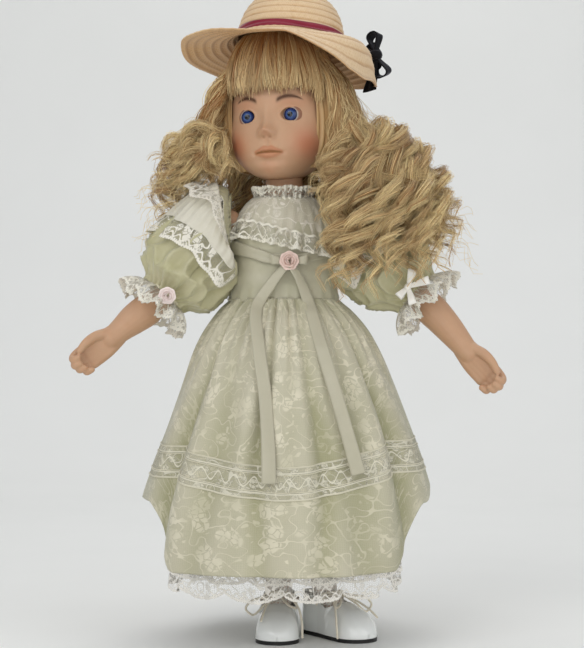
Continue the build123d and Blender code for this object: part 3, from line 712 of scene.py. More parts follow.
def around_head(phi, z, out=0.0):
    """A point beside the turned head: phi is measured from the face towards the doll's left."""
    height = np.clip((z - 340.0) / 46.0, -1, 1)
    r = 40.0 * np.sqrt(np.clip(1 - 0.55 * height**2, 0, 1)) + out
    p = np.stack([r * np.sin(phi), -r * np.cos(phi) + 1.0, z + 0 * phi], -1)
    return turn_head(p)


def guide_paths(controls):
    """Smooth paths through rows of control points (locks, points, 3)."""
    t = np.linspace(0, 1, HAIR_STEPS)
    paths = []
    for points in controls:
        gap = np.linalg.norm(np.diff(points, axis=0), axis=-1)
        at = np.concatenate([[0], np.cumsum(gap)]) / gap.sum()
        paths.append(smooth(t, at, points))
    return np.array(paths)


def curled(guides, amp, pitch, phase, start=0.12):
    """Guides wound into loosening waves and, towards the tips, into curls."""
    t = np.linspace(0, 1, guides.shape[1])[None, :]
    length = np.linalg.norm(np.diff(guides, axis=1), axis=-1).sum(1)[:, None]
    _, n, b = frames(guides)
    wound = 0.75 * t + 0.30 * t**3
    turn = phase[:, None] + TAU * length / pitch[:, None] * wound + 2.6 * step(t, 0.80, 1.0)
    grow = amp[:, None] * (0.10 + 0.90 * step(t, start, 0.80)) * (1 - 0.45 * step(t, 0.85, 1.0))
    return guides + (grow * np.cos(turn))[..., None] * n + (grow * np.sin(turn))[..., None] * b * 0.9


def strands(guides, each, spread, draw):
    """Fine strands running beside each guide, spreading apart a little at their ends."""
    count, steps = guides.shape[:2]
    t = np.linspace(0, 1, steps)
    _, n, b = frames(guides)
    angle = draw.uniform(0, TAU, (count, each))
    reach = spread * np.sqrt(draw.uniform(0.05, 1, (count, each)))
    twist = draw.uniform(-1.2, 1.2, (count, each))
    swell = 0.55 + 0.6 * np.sin(math.pi * np.clip(t * 1.05, 0, 1)) ** 0.7 - 0.35 * t**3
    turn = angle[..., None] + twist[..., None] * t * 3
    offset = reach[..., None] * swell
    paths = (guides[:, None] + (offset * np.cos(turn))[..., None] * n[:, None]
             + (offset * np.sin(turn))[..., None] * b[:, None])
    for k in range(3):
        wave = draw.uniform(1.5, 4.5, (count, each, 1)) * (1 + k)
        p = draw.uniform(0, TAU, (count, each, 1, 3))
        size = STRAND_STRAY * (0.15 + t) ** 1.3 / (1 + k) * draw.uniform(0.3, 1.2, (count, each, 1))
        paths = paths + size[..., None] * np.sin(wave[..., None] * t[:, None] * TAU / 2 + p)
    end = draw.uniform(0.86, 1.0, (count, each, 1))
    where = np.clip(t * end * (steps - 1), 0, steps - 1.001)
    low = where.astype(int)
    part = (where - low)[..., None]
    row = np.arange(count)[:, None, None], np.arange(each)[None, :, None]
    paths = paths[row[0], row[1], low] * (1 - part) + paths[row[0], row[1], low + 1] * part
    paths = paths.reshape(-1, steps, 3)
    taper = STRAND_RADIUS * (1.0 - 0.65 * t**3)
    # Tone rises from root to tip: painted shade under the hat towards the roots and painted light
    # towards the ends, over random differences between strands and between locks.
    tone = np.clip(0.46 + draw.normal(0, 0.20, (count, each, 1)) + 0.45 * (t - 0.4)
                   + draw.normal(0, 0.21, (count, 1, 1)), 0, 1).reshape(-1, steps)
    return paths, taper[None, :], tone


def hair_piece(name, parts, material):
    """One object from a list of (paths, radii, tone, sides, squeeze)."""
    meshes, tones = [], []
    for paths, radii, tone, sides, squeeze in parts:
        meshes.append(tubes(paths, radii, sides=sides, squeeze=squeeze))
        tones.append(np.repeat(tone.reshape(-1), sides))
    return build(name, *join(meshes), material, colours={"tone": np.concatenate(tones)})


def lock_mass(name, roots, tips, bulge, amp, pitch, each, spread, mid_z, material, draw):
    """A mass of locks: from under the hat, round the head, and out and down to the tips."""
    phi, count = roots, len(roots)
    p0 = around_head(phi, np.full(count, 386.0), -6.0)
    p1 = around_head(phi, mid_z[0] + draw.uniform(-4, 4, count), 2.5 + draw.uniform(0, 3, count))
    p2 = around_head(phi, mid_z[1] + draw.uniform(-5, 5, count), 6.5 + draw.uniform(0, 6, count))
    share = draw.uniform(0.42, 0.6, (count, 1))
    p3 = p2 * (1 - share) + tips * share + bulge + draw.normal(0, 2.0, (count, 3))
    guides = guide_paths(np.stack([p0, p1, p2, p3, tips], 1))
    amps = amp * draw.uniform(0.6, 1.3, count)
    phase = 2.6 * np.sin(5.0 * phi) + tips[:, 2] / 14.0 + draw.normal(0, 0.8, count)
    guides = curled(guides, amps, pitch * draw.uniform(0.9, 1.15, count), phase)
    t = np.linspace(0, 1, HAIR_STEPS)
    core = spread * (0.58 + 0.16 * np.sin(math.pi * t)) * (1 - 0.88 * step(t, 0.42, 0.95))
    shade = np.clip(0.26 + draw.normal(0, 0.08, (count, 1)) + 0.10 * t[None, :], 0, 1)
    fat = core[None, :] * draw.uniform(0.75, 1.1, (count, 1))
    pieces = []
    for k, first in enumerate(range(0, count, LOCKS_A_PIECE)):
        some = slice(first, first + LOCKS_A_PIECE)
        paths, radii, tone = strands(guides[some], each, spread, draw)
        pieces.append(hair_piece(f"{name}_{k + 1}", [(guides[some], fat[some], shade[some], 7, 0.6),
                                                     (paths, radii, tone, 3, 1.0)], material))
    return pieces


def hang(piece, high, low):
    """Hair with its place baked into its points; the heights high and low are not used."""
    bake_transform(piece)


def tip_points(count, xs, low, high, depth, draw):
    """Tips spread over a region seen from the front; low, high and depth are curves over x."""
    x = np.sort(draw.uniform(xs[0], xs[-1], count))
    share = draw.uniform(0, 1, count) ** 1.3
    z = np.interp(x, xs, low) * (1 - share) + np.interp(x, xs, high) * share
    y = np.interp(x, xs, depth) + draw.uniform(-9, 9, count)
    return np.stack([x, y, z], -1)


def make_fringe(material, draw):
    """Straight hair hanging from under the hat to just above the brows."""
    count, steps = 1500, 14
    phi = draw.uniform(-1.15, 1.15, count)
    t = np.linspace(0, 1, steps)[None, :]
    layer = draw.uniform(0, 1, count)[:, None]
    clump = np.sin(phi * 23 + 1.0) * 0.5 + np.sin(phi * 41 + 2.0) * 0.5
    bottom = (356.3 + 1.6 * draw.normal(0, 1, count) + 1.6 * clump - 8.0 * step(np.abs(phi), 0.80, 1.15)
              - 5.0 * (draw.uniform(0, 1, count) > 0.975))
    z = FRINGE_TOP + (bottom[:, None] - FRINGE_TOP) * t
    sweep = (0.10 * np.sin(phi * 9 + 0.6) + draw.normal(0, 0.05, count))[:, None]
    a = phi[:, None] + sweep * t**1.5 + 0.015 * np.sin(t * 7 + phi[:, None] * 30)
    rx = 24.2 + 13.8 * np.sin(t * 1.5) + 2.4 * layer * step(t, 0.0, 0.3) - 1.8 * t**3
    path = np.stack([rx * np.sin(a), -(rx + 1.2) * np.cos(a) - 0.5, z], -1)
    # Tone is darker towards the top, painted shadow of the brim, and lighter on the outer layer than the
    # inner one, painted shade of the inner hair; it also varies with the clumps and at random.
    tone = (0.22 + 0.2 * layer + 0.14 * clump[:, None] + draw.normal(0, 0.13, (count, 1))
            + 0.12 * t - 0.34 * (1 - t))
    tone = np.clip(tone, 0, 1)
    uu, vv = crossed(np.linspace(-1.2, 1.2, 150), np.linspace(0, 1, 20))
    rib = 0.5 * np.sin(uu * 90) + 0.4 * np.sin(uu * 57 + 1)
    r = 23.8 + 13.3 * np.sin(vv * 1.5) - 1.0 * vv**3 + rib * 0.5
    low = 357.5 - 8.0 * step(np.abs(uu), 0.85, 1.2)
    under = np.stack([r * np.sin(uu), -(r + 1.0) * np.cos(uu) - 0.5,
                      FRINGE_TOP + (low - FRINGE_TOP) * vv], -1)
    fringe = hair_piece("hair_fringe",
                        [(turn_head(path), 0.30 * (1 - 0.4 * t**2), tone, 3, 1.0)], material)
    # The sheet under the fringe is kept very dark, darkest at the top and in the grooves between its
    # ribs: painted shade beneath the fringe and the brim.
    lining = sheet("hair_fringe_lining", turn_head(under), material,
                   colours={"tone": (0.08 + 0.1 * vv + 0.06 * rib).ravel()}, thick=0.5)
    fit(fringe, "head", "hair")
    attach(lining, fringe)


def make_wig_base(material):
    """The wefts sewn to the cap: a ribbed shell that closes the wig behind the face."""
    pp, zz = crossed(np.linspace(0.95, TAU - 0.95, 260), np.linspace(306.0, 384.0, 60))
    rib = (0.6 * np.sin(pp * 61 + 0.8 * np.sin(zz * 0.11))
           + 0.4 * np.sin(pp * 97 + 1.2 * np.sin(zz * 0.09 + pp)))
    tuck = -6.0 * step(zz, 320, 306) - 5.0 * bell(np.minimum(pp, TAU - pp), 0.95, 0.12)
    points = around_head(pp, zz, 0.5 + rib * 0.8 + tuck)
    # Tone stays below the strands' and dips in the grooves between ribs: painted shade of the under
    # layers.
    base = sheet("wig_base", points, material, colours={"tone": (0.28 + 0.10 * rib).ravel()}, thick=1.0)
    fit(base, "head", "hair", "wig_crown", "wig_cap", "crown_pate")


def crown_point(phi, w, out=0.0):
    """A point of the hair over the top of the head: w is its latitude, a quarter turn at the swirl."""
    r = (29.6 + out) * np.cos(w)
    return turn_head(np.stack([r * np.sin(phi), -r * np.cos(phi) + 6.0 * np.sin(w),
                               383.5 + (17.5 + out) * np.sin(w)], -1))


def make_crown_hair(material):
    """Hair combed from a swirl over the top of the head, which shows when the hat is off."""
    draw = np.random.default_rng(9)
    phi, w = crossed(np.linspace(0, TAU, 241)[:-1], np.linspace(math.pi / 2, -0.1, 40))
    rib = 0.5 * np.sin(phi * 47) + 0.4 * np.sin(phi * 73 + 1.0)
    # Tone stays below the hairs' and dips in the grooves between ribs: painted shade of the under layer.
    under = sheet("wig_crown_wefts", crown_point(phi + 0.5 * w, w, rib * 0.5), material, wrap=True,
                  colours={"tone": (0.22 + 0.08 * rib).ravel()}, thick=0.6)
    count, steps = 1500, 14
    start = np.arccos(draw.uniform(0.02, 1, count) ** 0.5)[:, None]
    t = np.linspace(0, 1, steps)[None, :]
    w = start * (1 - t) - 0.12 * t
    swirl = draw.uniform(0, TAU, count)[:, None] + 0.5 * w
    phi = swirl + 0.03 * np.sin(t * 6 + draw.uniform(0, TAU, (count, 1)))
    paths = crown_point(phi, w, 0.5 + draw.uniform(0, 1.0, (count, 1)))
    tone = np.broadcast_to(np.clip(0.36 + draw.normal(0, 0.14, (count, 1)), 0, 1), (count, steps))
    hairs = hair_piece("wig_crown_hairs", [(paths, 0.28 * (1 - 0.4 * t**2), tone, 3, 1.0)], material)
    for piece in (under, hairs):
        fit(piece, "head", "hair")


# Each mass of locks: its name, the CAD node it stands for, the side of the head its roots are on,
# its number of locks, where its tips end (x, lowest and highest z, y over x), its roots (turn over
# the tips' x, and stray), its bulge, the curls' width and pitch, strands and spread of each lock,
# and the heights that its locks pass beside the head.
MASSES = (
    ("hair_left_front", "hair_left", 1, 64,
     ([22, 36, 60, 90, 116], [222, 214, 220, 231, 244], [262, 254, 258, 264, 266],
      [-50, -56, -56, -48, -34]),
     ([22, 116], [1.2, 2.1], 0.12), [7.0, -9.0, 6.0], 9.0, 46.0, 32, 3.4, (356, 330)),
    ("hair_left_outer", None, 1, 44,
     ([50, 80, 112, 117], [262, 258, 252, 262], [300, 308, 292, 276], [-30, -26, -22, -24]),
     ([50, 117], [1.25, 2.3], 0.15), [11.0, -3.0, 12.0], 9.5, 42.0, 32, 3.3, (356, 330)),
    ("hair_left_face", None, 1, 18,
     ([16, 24, 34], [290, 262, 250], [298, 292, 284], [-44, -50, -54]),
     ([16, 34], [1.12, 1.3], 0.06), [6.0, -6.0, 4.0], 6.0, 44.0, 28, 2.8, (352, 325)),
    ("hair_right_outer", "hair_right", -1, 52,
     ([-89, -80, -62, -44], [280, 270, 282, 296], [316, 318, 316, 314], [6, 8, 6, -4]),
     ([44, 89], [1.0, 1.9], 0.15), [-9.0, -4.0, 5.0], 8.5, 40.0, 32, 3.2, (356, 330)),
    ("hair_right_face", None, -1, 18,
     ([-44, -38, -31], [298, 296, 300], [314, 312, 312], [-20, -22, -24]),
     ([31, 44], [0.92, 1.15], 0.06), [-3.0, -3.0, 2.0], 5.0, 42.0, 28, 2.8, (354, 330)),
    ("hair_back_locks", "hair_back", 1, 50,
     ([-66, -30, 10, 50, 84], [256, 236, 232, 236, 250], [286, 270, 266, 272, 286],
      [34, 48, 52, 46, 26]),
     ([-66, 84], [TAU - 1.9, 2.1], 0.15), [0.0, 7.0, 0.0], 7.0, 48.0, 28, 4.4, (356, 330)))


def make_hair():
    draw = np.random.default_rng(5)
    material = fibre()
    make_wig_base(material)
    make_crown_hair(material)
    make_fringe(material, draw)
    for name, node, side, count, region, (at, turn, stray), *lock in MASSES:
        tips = tip_points(count, *region, draw)
        roots = side * np.interp(side * tips[:, 0], at, turn) + draw.uniform(-stray, stray, count)
        pieces = lock_mass(name, roots, tips, *lock, material, draw)
        for piece in pieces:
            hang(piece, *((0.300, 0.262) if "right" in name else HAIR_HOLD))
        if node:
            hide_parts(node)
    make_wisps(material, draw)


def make_wisps(material, draw):
    """Single stray hairs standing off the curls."""
    count = 190
    phi = np.concatenate([draw.uniform(1.1, 2.6, 100), -draw.uniform(1.1, 2.4, 90)])
    side = np.sign(phi)
    p0 = around_head(phi, np.full(count, 380.0), -8.0)
    p1 = around_head(phi, 350 + draw.uniform(-8, 12, count), 4.0 + draw.uniform(0, 5, count))
    far = draw.uniform(0, 1, count)
    p2 = around_head(phi, 330 + draw.uniform(-10, 10, count), 12.0 + 12 * far)
    x = np.where(side > 0, draw.uniform(60, 128, count), -draw.uniform(52, 100, count))
    z = np.where(side > 0, 340 - (x - 50) * 1.0, 340 + (x + 45) * 1.1) + draw.uniform(-34, 12, count)
    p3 = np.stack([x, draw.uniform(-30, 25, count), z], -1)
    guides = curled(guide_paths(np.stack([p0, p1, p2, p3], 1)), draw.uniform(2, 8, count),
                    draw.uniform(22, 60, count), draw.uniform(0, TAU, count), 0.35)
    tone = np.full((count, HAIR_STEPS), 0.8)
    wisps = hair_piece("hair_wisps", [(guides, np.full((1, HAIR_STEPS), 0.13), tone, 3, 1.0)], material)
    hang(wisps, *HAIR_HOLD)


make_hair()


# ------------------------------------------------------------------ dress
BODY_DEPTH = 0.76
# The skirt's folds: the angle of each from the front, its depth and its half width in degrees.
FOLDS = ((-53, 9.0, 4.0), (-35, 5.5, 4.5), (-24, 2.5, 3.0), (-9, 7.0, 3.2), (3, 2.5, 3.0),
         (15, 8.0, 3.2), (26, 3.0, 3.0), (37, 6.0, 4.5), (54, 9.0, 4.0), (76, 5.0, 8.0),
         (98, 5.5, 9.0), (122, 5.0, 8.0), (147, 5.5, 9.0), (171, 4.5, 8.0), (-76, 5.0, 8.0),
         (-99, 5.5, 9.0), (-124, 5.0, 8.0), (-150, 5.5, 9.0))
WHITE_LACE = (lin(238, 234, 220), lin(224, 219, 202))


def edging(name, colour, other, depth, ground):
    """A gathered lace trimming: v runs in millimetres up from its shaped lower edge."""
    s = Shader(name, Roughness=0.75, Specular_IOR_Level=0.25, Sheen_Weight=0.15)
    uv = s.uv()
    v = s.add("SeparateXYZ", {0: uv}, out=1)
    solid, mesh = lace_pattern(s, uv, 7.0, 1.1)
    border = s.times(s.ramp(v, 2.4, 1.7), s.ramp(s.cells(uv, 1.5, randomness=0.2), 0.10, 0.30))
    scroll = s.ramp(s.gap(s.math("ADD", v, s.times(s.waves(uv, 5.5, "X"), 2.4)), 4.6), 0.75, 0.45)
    heading = s.ramp(v, depth - 1.8, depth - 1.2)
    thread = s.most(s.times(solid, 0.95), s.times(mesh, ground))
    thread = s.most(thread, s.most(border, s.most(scroll, heading)))
    s.set(Base_Color=s.mix(s.noise(uv, 8.0), colour, other), Alpha=thread,
          Normal=s.bump(s.math("MULTIPLY_ADD", s.waves(uv, 0.5, "DIAGONAL", 2.0), 0.3,
                               thread), 0.6, 0.25))
    return s.material


def angle_gap(theta, centre):
    return np.degrees(np.angle(np.exp(1j * (theta - math.radians(centre)))))


def fold_depth(theta, z):
    """How deep the skirt's folds are at each point."""
    down = step(z, 214, 120)
    valley = 0
    for k, (centre, depth, width) in enumerate(FOLDS):
        sway = 3.0 * np.sin(z * 0.022 + 1.7 * k)
        gap = angle_gap(theta, centre) + sway * down
        grow = 0.30 + 0.70 * step(z, 212, 120) - 0.35 * step(z, 110, 55)
        valley = valley + depth * grow * np.exp(-0.5 * (gap / (width * (0.75 + 0.45 * down))) ** 2)
    return valley


def skirt_radius(theta, z, out=0.0):
    """Radius of the gathered skirt; theta is measured from the front towards the doll's left."""
    base = smooth(z, [45, 54, 118, 165, 206, 216, 222], [91.5, 90.5, 78.5, 61.0, 41.5, 34.0, 29.0])
    down = step(z, 214, 120)
    valley = fold_depth(theta, z)
    gathers = 1.1 * np.sin(theta * 46 + 1.5 * np.sin(theta * 5)) + 0.8 * np.sin(theta * 31 + 2.0)
    fine = gathers * step(z, 150, 212) * step(z, 222, 214)
    ripple = 0.7 * wobble(theta * 3.0, z * 0.035, 3, 3) * down
    panel = 2.6 * step(np.abs(angle_gap(theta, 0)), 55, 51) * down
    heights = [50, 96, 112, 152, 186, 208, 221]
    flare = (smooth(z, heights, [13, 17.5, 17, 14.5, 12, 9.5, 6.5]) * bell(angle_gap(theta, 90), 0, 34)
             + smooth(z, heights, [9, 11, 10, 8.0, 7.5, 6.5, 6]) * bell(angle_gap(theta, -90), 0, 34))
    return base - valley + fine + ripple + panel + flare + 1.6 * down + out


def hem_height(theta):
    """Height of the skirt's hem: low in front, hitched up at the sides."""
    side = angle_gap(theta, 0)
    rise = np.where(side > 0, 40 * step(side, 45, 66) + 9 * step(side, 66, 88), 41 * step(-side, 44, 68))
    rise = rise * step(np.abs(side), 165, 120) + 8 * step(np.abs(side), 120, 165)
    return 50.5 + rise + 0.8 * wobble(theta * 4, 0 * theta, 9)


def rounds(columns, rows):
    """Angles round the body from -pi and shares from top to bottom, as two grids."""
    return crossed(full_turn(columns) - math.pi, np.linspace(0, 1, rows))


def skirt_points(columns, rows, top, low, out):
    tt, vv = rounds(columns, rows)
    z = top + (low[:, None] - top) * vv
    return polar(skirt_radius(tt, z, out), tt, z), tt, z


def make_skirt():
    hem = hem_height(full_turn(720) - math.pi)
    points, tt, z = skirt_points(720, 150, 221.5, hem, 0.0)
    # The last colour given here is painted shade for the bottoms of the folds.
    ground = laid_lace("mint_satin_under_lace", lin(206, 199, 178), lin(188, 184, 156),
                       lin(222, 215, 192), 15.0,
                       lin(150, 148, 106))
    depth = fold_depth(tt, z)
    # The fold attribute rises with each fold's depth and in a band just under the waist seam: painted
    # shade.
    skirt = sheet("skirt_lace_over_satin", points, ground, wrap=True, uv_size=(500, 190), thick=1.2,
                  colours={"fold": np.clip(depth / 7.0, 0, 1) ** 1.2 * 0.75 + 0.35 * bell(z, 219, 5)})
    fit(skirt, "torso", "mint_lace", "skirt_lace", "skirt_satin")
    make_band_lace()
    points, _, _ = skirt_points(360, 50, 217.0, hem[::2] + 3.0, -2.2)
    satin = cloth("mint_satin", lin(200, 193, 172), lin(182, 179, 146), rough=0.42)
    lining = sheet("skirt_lining", points, satin, wrap=True, uv_size=(500, 190), thick=0.4)
    attach(lining, skirt)


def make_band_lace():
    """Straight-edged lace let in above the hem, dipping in a curve across the front."""
    tt, vv = rounds(720, 22)
    side = np.clip(np.abs(angle_gap(tt, 0)) / 52, 0, 1)
    z = 106.5 + 12.5 * side**1.7 + 2.0 * np.sin(tt) * side + 10.0 * (1 - 2 * vv)
    points = polar(skirt_radius(tt, z, 0.9), tt, z)
    s = Shader("insertion_lace", Roughness=0.75, Specular_IOR_Level=0.25)
    uv = s.uv()
    across = s.add("SeparateXYZ", {0: uv}, out=1)
    middle = s.gap(across, 10.0)
    solid, mesh = lace_pattern(s, uv, 5.5, 1.0)
    cord = s.most(s.ramp(middle, 9.0, 9.3), s.ramp(s.gap(middle, 6.3), 0.55, 0.35))
    vine = s.ramp(s.gap(across, s.math("MULTIPLY_ADD", s.waves(uv, 11.0, "X", 1.0), 6.0, 7.0)), 0.8, 0.5)
    thread = s.most(s.most(cord, vine), s.most(s.times(solid, 0.9), s.times(mesh, 0.62)))
    s.set(Base_Color=s.mix(s.noise(uv, 6.0), lin(226, 221, 202), lin(212, 207, 186)), Alpha=thread,
          Normal=s.bump(thread, 0.8, 0.35))
    band = sheet("skirt_insertion_lace", points, s.material, wrap=True, uv_size=(500, 20))
    paths = []
    for edge in (0, 5, 16, 21):
        ring = points[:, edge] + unit(points[:, edge] * [1, 1, 0]) * 0.25
        paths.append(np.concatenate([ring, ring[:1]]))
    cream = cloth("cream_cord", lin(222, 217, 196), lin(208, 202, 176))
    cords = build("skirt_insertion_cords", *tubes(np.array(paths), 0.32, sides=6), cream)
    fit(band, "torso", "mint_lace", "skirt_band")
    attach(cords, band)


def make_petticoat():
    tt, vv = rounds(720, 40)
    pleats = np.sin(tt * 17 + 0.8 * np.sin(tt * 4))
    z = 217 + (50.0 - 217) * vv
    r = smooth(z, [36, 90, 150, 198, 219], [72.5, 67.0, 54.5, 36.5, 28.5])
    points = polar(r + 1.6 * pleats * step(z, 215, 80), tt, z)
    white = cloth("white_cotton", lin(224, 222, 212), lin(208, 206, 196), 0.5, 0.85)
    slip = sheet("petticoat_cotton", points, white, wrap=True, uv_size=(430, 180), thick=0.6)
    fit(slip, "torso", "white_cotton", "petticoat")
    tiers = (("petticoat_hem_lace", ["petticoat_lace"], 56.0, 31.0, 12, 2.0, 6.0, 0.0),
             ("petticoat_heading_lace", [], 60.0, 42.0, 16, 3.4, 3.5, 2.4))
    material = edging("petticoat_lace_edging", lin(250, 246, 238), lin(238, 233, 222), 25.0, 0.62)
    for name, nodes, top, low, scallops, lift, dip, shift in tiers:
        arch = np.abs(np.sin(tt * scallops / 2 + shift))
        edge = low + dip * (1 - arch**0.55) + 0.35 * np.abs(np.sin(tt * scallops * 4))
        z = top + (edge - top) * vv
        r = 72.5 + lift * 0.4 + 1.9 * pleats + 1.3 * vv * np.sin(tt * 29 + 1) + 1.5 * vv
        tier = sheet(name, polar(r, tt, z), material, wrap=True, uv_size=(455, 1))
        layer = tier.data.uv_layers["UVMap"]
        index = np.empty(len(tier.data.loops), np.int32)
        tier.data.loops.foreach_get("vertex_index", index)
        uv = np.empty(len(index) * 2, np.float32)
        layer.data.foreach_get("uv", uv)
        uv = uv.reshape(-1, 2)
        uv[:, 1] = (z - edge).reshape(-1)[index]
        layer.data.foreach_set("uv", uv.ravel())
        fit(tier, "torso", "white_lace", *nodes)


def body_ring(half, theta, depth=BODY_DEPTH):
    """Points round the oval body at half-widths half, theta from the front."""
    return half * np.sin(theta), -half * depth * np.cos(theta)


def bodice_half(z):
    return smooth(z, [218, 221, 229, 236, 255, 270, 280.5, 286, 289],
                  [35.6, 35.4, 34.4, 33.6, 33.4, 31.4, 26.2, 21.5, 17.5])


def make_bodice():
    tt, zz = crossed(full_turn(400) - math.pi, np.linspace(219.5, 288.5, 90))
    crease = (0.45 * wobble(tt * 4.0, zz * 0.09, 21)
              + 0.5 * np.sin(tt * 26 + 2 * np.sin(tt * 3)) * step(zz, 234, 222)
              + 0.35 * np.sin(zz * 0.5 + tt * 3.0) * bell(zz, 236, 8))
    shape = 1.0 + 0.10 * bell(zz, 262, 12) * bell(np.abs(angle_gap(tt, 0)), 28, 24)
    x, y = body_ring(bodice_half(zz) + 0.6 + crease, tt)
    points = np.stack([x, y * np.where(y < 0, shape, 1.0), zz], -1)
    satin = cloth("bodice_satin", lin(198, 192, 171), lin(180, 177, 148), rough=0.40, sheen=0.4)
    bodice = sheet("bodice_satin", points, satin, wrap=True, uv_size=(200, 70), thick=0.8)
    fit(bodice, "torso", "mint_satin", "bodice")
    belt_t = np.arange(401) / 400 * TAU
    x, y = body_ring(36.6, belt_t)
    belt = np.stack([x, y, 220.5 + 0.6 * np.sin(belt_t * 3)], -1)
    seam = build("waist_seam_cord", *tubes(belt[None], 0.8, sides=8), satin)
    attach(seam, bodice)


def make_yoke():
    """Gathered lace round the neck: a flat yoke, a fuller frill along its edge and a neck frill."""
    tt, vv = rounds(560, 30)
    lower = 262.0 - 9.0 * np.sin(tt) * step(np.abs(angle_gap(tt, 0)), 100, 40)
    yoke_lace = laid_lace("yoke_lace", lin(208, 200, 180), lin(192, 188, 164), lin(232, 226, 212), 8.0)
    zz = 288.0 + (lower - 288.0) * vv
    gathers = 0.5 * np.sin(tt * 30 + 4 * vv) * vv + 0.4 * wobble(tt * 6, vv * 5, 4)
    x, y = body_ring(bodice_half(zz) + 1.6 + gathers, tt, 0.80)
    yoke = sheet("yoke_lace", np.stack([x, y, zz], -1), yoke_lace, wrap=True,
                 uv_size=(190, 28), thick=0.5)
    fit(yoke, "torso", "white_lace", "collar_lace")
    frill_lace = edging("frill_lace", *WHITE_LACE, 12.0, 0.6)
    zz = lower + 5.0 - 12.5 * vv + 0.5 * np.sin(tt * 37)
    ruffle = ((1.2 + 1.9 * vv) * np.sin(tt * 24 + 1.3 * np.sin(tt * 5) + vv * 1.5)
              + 0.9 * np.sin(tt * 41 + vv * 2) * vv)
    x, y = body_ring(bodice_half(zz) + 3.4 + 2.4 * vv + ruffle, tt, 0.82)
    frill = sheet("yoke_frill", np.stack([x, y, zz], -1)[:, ::-1], frill_lace, wrap=True,
                  uv_size=(330, 12))
    attach(frill, yoke)
    zz = 285.5 + 9.5 * vv + 0.5 * np.sin(tt * 9)
    r = 18.3 + 1.8 * vv + (0.5 + 1.3 * vv) * np.sin(tt * 34)
    points = polar(r, tt, zz)[:, ::-1]
    neck = sheet("neck_frill", points, edging("neck_frill_lace", *WHITE_LACE, 9.5, 0.75), wrap=True,
                 uv_size=(210, 9.5), thick=0.3)
    fit(neck, "torso", "white_lace", "neck_lace")


ROSE = np.array([3.5, -31.5, 245.5])
# The side that each ribbon tail hangs on, and its middle seen from the front.
TAIL_PATHS = (
    (-1, [(1.5, 243), (-8, 231), (-17.5, 214), (-15.5, 190), (-11.5, 160), (-9.5, 132), (-8.8, 107)]),
    (1, [(5, 243), (11, 232), (16.5, 217), (24, 190), (33, 160), (41, 132), (46.5, 112)]))


def make_waist_ribbon():
    satin = cloth("ivory_satin", lin(192, 186, 164), lin(178, 173, 150), 0.3, 0.35, 0.4)
    t = np.linspace(0, 1, 90)
    pieces = []
    for side in (-1, 1):
        theta = side * (0.06 + t * 2.9)
        droop = -1.0 if side > 0 else 0.5
        z = 245.0 + 10.5 * np.sin(np.clip(t * 1.9, 0, 1) * math.pi / 2) + droop * np.sin(t * 6)
        x, y = body_ring(bodice_half(z) + 2.6, theta, 0.80)
        centre = np.stack([x, y - 1.0 * np.exp(-t * 9), z], -1)
        width = 4.0 + 5.0 * step(t, 0.0, 0.12) - 1.5 * np.sin(t * 9) ** 2
        across = unit(np.stack([0.12 * np.sin(t * 8), 0.1 * np.cos(t * 7), np.ones_like(t)], -1))
        points = ribbon(centre, across, width, 9, 0.5)
        points += (0.35 * np.sin(np.linspace(0, 3 * math.pi, 9))[None, :]
                   * np.cos(t * 5)[:, None])[..., None] * [0, -1, 0]
        pieces.append(patch(points))
    band = build("waist_ribbon_satin", *join(pieces), satin)
    thicken(band, 0.35)
    fit(band, "torso", "ivory_satin", "waist_ribbon")
    tails = []
    for side, path in TAIL_PATHS:
        s = np.linspace(0, 1, 120)
        xz = smooth(s, np.linspace(0, 1, len(path)), path)
        skirt = skirt_radius(np.arctan2(xz[:, 0], 60.0), xz[:, 1])
        body = bodice_half(np.clip(xz[:, 1], 219, 289)) + 1.0
        blend = step(xz[:, 1], 226, 212)
        reach = body * 0.84 * (1 - blend) + (np.maximum(skirt, 27) + 3.2) * blend
        y = -np.sqrt(np.maximum(reach**2 - xz[:, 0] ** 2, 9)) - 3.0 - 1.2 * np.sin(s * 9 + side)
        centre = np.stack([xz[:, 0], y, xz[:, 1]], -1)
        tangent = unit(np.gradient(centre, axis=0))
        tilt = 0.5 * np.sin(s * 5 + side) * (1 - s)
        outward = unit(np.stack([np.sin(tilt), -np.cos(tilt), 0.25 + 0 * s], -1))
        across = unit(np.cross(tangent, outward))
        points = ribbon(centre, across, 5.6 + 3.2 * step(s, 0, 0.6) + 0.5 * np.sin(s * 7), 9, 0.5)
        tails.append(patch(points))
    tails += [patch(bow_stub(-1)), patch(bow_stub(1))]
    strips = build("satin_ribbon_tails", *join(tails), satin)
    thicken(strips, 0.4)
    fit(strips, "torso", "ivory_satin", "ribbon_tails")
    make_rose()


def bow_stub(side):
    """A short flattened loop of ribbon beside the rose."""
    t = np.linspace(0, 1, 24)
    centre = ROSE + np.stack([side * (3.0 + 9.0 * np.sin(math.pi * t)),
                              1.0 - 2.2 * np.sin(TAU * t), 3.0 * t], -1)
    across = np.broadcast_to(unit(np.array([0.1 * side, 0.0, 1.0])), centre.shape)
    return ribbon(centre, across, 3.0 + 4.0 * np.sin(math.pi * t), 7)


# Each ring of petals from the bud out: how many, and their reach, height and lean.
PETAL_RINGS = ((1, 0.22, 0.9, 0.1), (3, 0.38, 0.86, 0.3), (4, 0.62, 0.66, 0.6), (6, 0.86, 0.40, 0.95))


